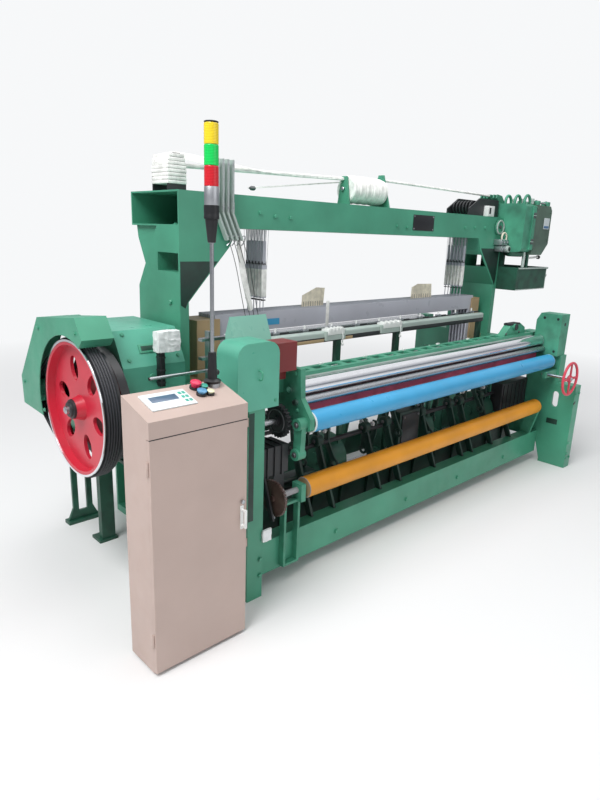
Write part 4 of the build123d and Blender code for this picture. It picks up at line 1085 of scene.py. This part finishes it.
# Motor: cooling fins, fan cover and terminal box
motor_y, motor_z, motor_radius = 1.04, 0.885, 0.095
fin_radius = motor_radius + 0.009
motor = Piece("motor_fins")
fins = [(0.0, motor_radius - 0.001)]
for index in range(16):
    along = 0.03 + 0.0135 * index
    fins += [(along, motor_radius), (along + 0.001, fin_radius)]
    fins += [(along + 0.004, fin_radius), (along + 0.005, motor_radius)]
fins.append((0.255, motor_radius - 0.001))
motor.turned(fins, (-0.4, motor_y, motor_z), X, "casting", 48)
fan = [(0, motor_radius + 0.004), (0.056, motor_radius + 0.004), (0.066, motor_radius - 0.012), (0.067, 0.03)]
motor.turned(fan, (-0.144, motor_y, motor_z), X, "iron", 48)
terminal_low = (-0.29, motor_y - 0.045, motor_z + 0.088)
motor.box(terminal_low, (-0.2, motor_y + 0.045, motor_z + 0.128), "casting", 0.006)
motor.done()

# Cabinet: shadow gap under the console; belt guard bolts
gap = Piece("console_gap")
gap_low = (console_low.x + 0.001, door_low.y - 0.0004, door_high.z - 0.0005)
gap_high = (console_high.x - 0.001, door_low.y + 0.01, console_low.z + 0.0004)
gap.box(gap_low, gap_high, "black", 0.0002)
gap.done()
guard = Piece("belt_guard_bolts")
guard_face = low("belt_guard").x
guard_places = ((0.448, 1.262), (0.862, 1.232), (0.86, 0.83), (1.105, 0.925))
guard.bolts([(guard_face, y, z) for y, z in guard_places], -X, "green", 0.009)
guard.done()

# Shield between the chrome and the guide roller, and the levers' bright edges, screws and hooks
shield = Piece("roller_shield")
shield_turn = Matrix.Rotation(radians(54.9), 3, "X")
shield.box((0.345, 0.0188, 0.9298), (2.872, 0.0282, 0.9314), "iron", 0.0004, shield_turn)
shield.done()
edges = Piece("lever_edges")
front = low("front_jack_levers").y
hook = ((0.06, 0.012, 1.668), (0.086, 0.006, 1.69), (0.088, 0.01, 1.65), (0.07, 0.02, 1.63))
for index in range(LEVERS):
    lever = 0.188 + LEVER_PITCH * index
    for x in (lever + 0.0009, lever + 0.0081):
        edges.pad(x, 0.0013, (front - 0.0006, 1.79), (front + 0.002, 2.03), "steel", 0.0003)
    edges.bolts([(lever + 0.0045, front, z) for z in (1.812, 2.012)], -Y, "steel", 0.0035)
    edges.tube([(lever + x, front + y, z) for x, y, z in hook], 0.0028, "steel", 8)
edges.done()

# Painted shade on the column heads: thin dark plates on the front faces, between two slanted flanges, where
# the flared heads' undersides and recesses lie in shade
shade_plates = Piece("column_head_painted_shade")
left_shade_outline = ((0.004, 1.552), (0.224, 1.552), (0.21, 1.538), (0.046, 1.359), (0.03, 1.326), (0.004, 1.342))
right_shade_outline = (
    (0.016, 1.64), (0.29, 1.64), (0.276, 1.618), (0.2, 1.536), (0.06, 1.386), (0.034, 1.352), (0.022, 1.42),
)
for outline in ([(COLUMN_LEFT + x, z) for x, z in left_shade_outline], [(COLUMN_RIGHT - x, z) for x, z in right_shade_outline]):
    shade_plates.plate(outline, "y", COLUMN_FRONT - 0.0012, COLUMN_FRONT, "deep", 0.0003)
shade_plates.done()

# Stage: a wide pale floor that fades into the air far from the machine
floor_mesh = bpy.data.meshes.new("floor")
floor_mesh.from_pydata([(-40, -40, 0), (40, -40, 0), (40, 40, 0), (-40, 40, 0)], [], [(0, 1, 2, 3)])
floor = placed("floor", floor_mesh)
ground = Finish("pale_floor")
ground.set("Base Color", (0.84, 0.84, 0.84, 1))
ground.set("Roughness", 0.9)
reach = ground.add("VectorMath", {0: ground.place, 1: (1.4, 0.4, 0)}, operation="DISTANCE")
fade = ground.add("MapRange", {"Value": reach.outputs["Value"], "From Min": 1.8, "From Max": 7.0})
to_camera = ground.add("LightPath").outputs["Is Camera Ray"]
shown = ground.math("MULTIPLY", fade.outputs["Result"], to_camera)
haze = ground.add("Emission", {"Color": PALE_AIR}).outputs["Emission"]
blend = ground.add("MixShader", {"Fac": shown, 1: ground.shader.outputs["BSDF"], 2: haze})
ground.feed(ground.tree.nodes["Material Output"], "Surface", blend.outputs["Shader"])
floor_mesh.materials.append(ground.material)

# Air: dim light on the machine, pale to the camera, and a dark-to-pale room in what shines
world = bpy.data.worlds.new("studio")
bpy.context.scene.world = world
world.use_nodes = True
air = Tree(world.node_tree)
background = air.tree.nodes["Background"]
air.feed(background, "Color", (0.92, 0.94, 0.97, 1))
air.feed(background, "Strength", 0.42)
ray = air.add("LightPath").outputs
height = air.add("SeparateXYZ", {"Vector": air.add("TexCoord").outputs["Generated"]}).outputs["Z"]
sky = air.ramp(height, [(0.05, (0.22, 0.24, 0.27, 1)), (0.55, (0.95, 0.96, 0.97, 1))])
room = air.mix(ray["Is Camera Ray"], sky, PALE_AIR)
seen = air.add("Background", {"Color": room, "Strength": 1.0})
either = air.math("MAXIMUM", ray["Is Camera Ray"], ray["Is Glossy Ray"])
choice = air.add(
    "MixShader", {"Fac": either, 1: background.outputs["Background"], 2: seen.outputs["Background"]},
)
air.feed(air.tree.nodes["World Output"], "Surface", choice.outputs["Shader"])


def area_light(name, place, target, size, power):
    """A soft lamp aimed at a point."""
    data = bpy.data.lights.new(name, "AREA")
    data.size = size
    data.energy = power
    made = placed(name, data)
    made.location = place
    made.rotation_euler = (Vector(target) - Vector(place)).to_track_quat("-Z", "Y").to_euler()


area_light("key", (-4.0, -0.8, 6.5), (1.0, 0.4, 0.8), 3.5, 450)
area_light("fill", (2.5, -5.5, 3.0), (1.5, 0.3, 0.8), 4.0, 50)
area_light("top", (1.5, 0.5, 5.5), (1.5, 0.5, 0.0), 4.0, 95)

camera_data = bpy.data.cameras.new("camera")
camera_data.lens = CAMERA_LENS
camera = placed("camera", camera_data)
axes = Matrix((CAMERA_RIGHT, -CAMERA_DOWN, -CAMERA_FORWARD)).transposed()
camera.matrix_world = Matrix.Translation(CAMERA_PLACE) @ axes.to_4x4()
bpy.context.scene.camera = camera
bpy.context.scene.view_settings.view_transform = "Standard"
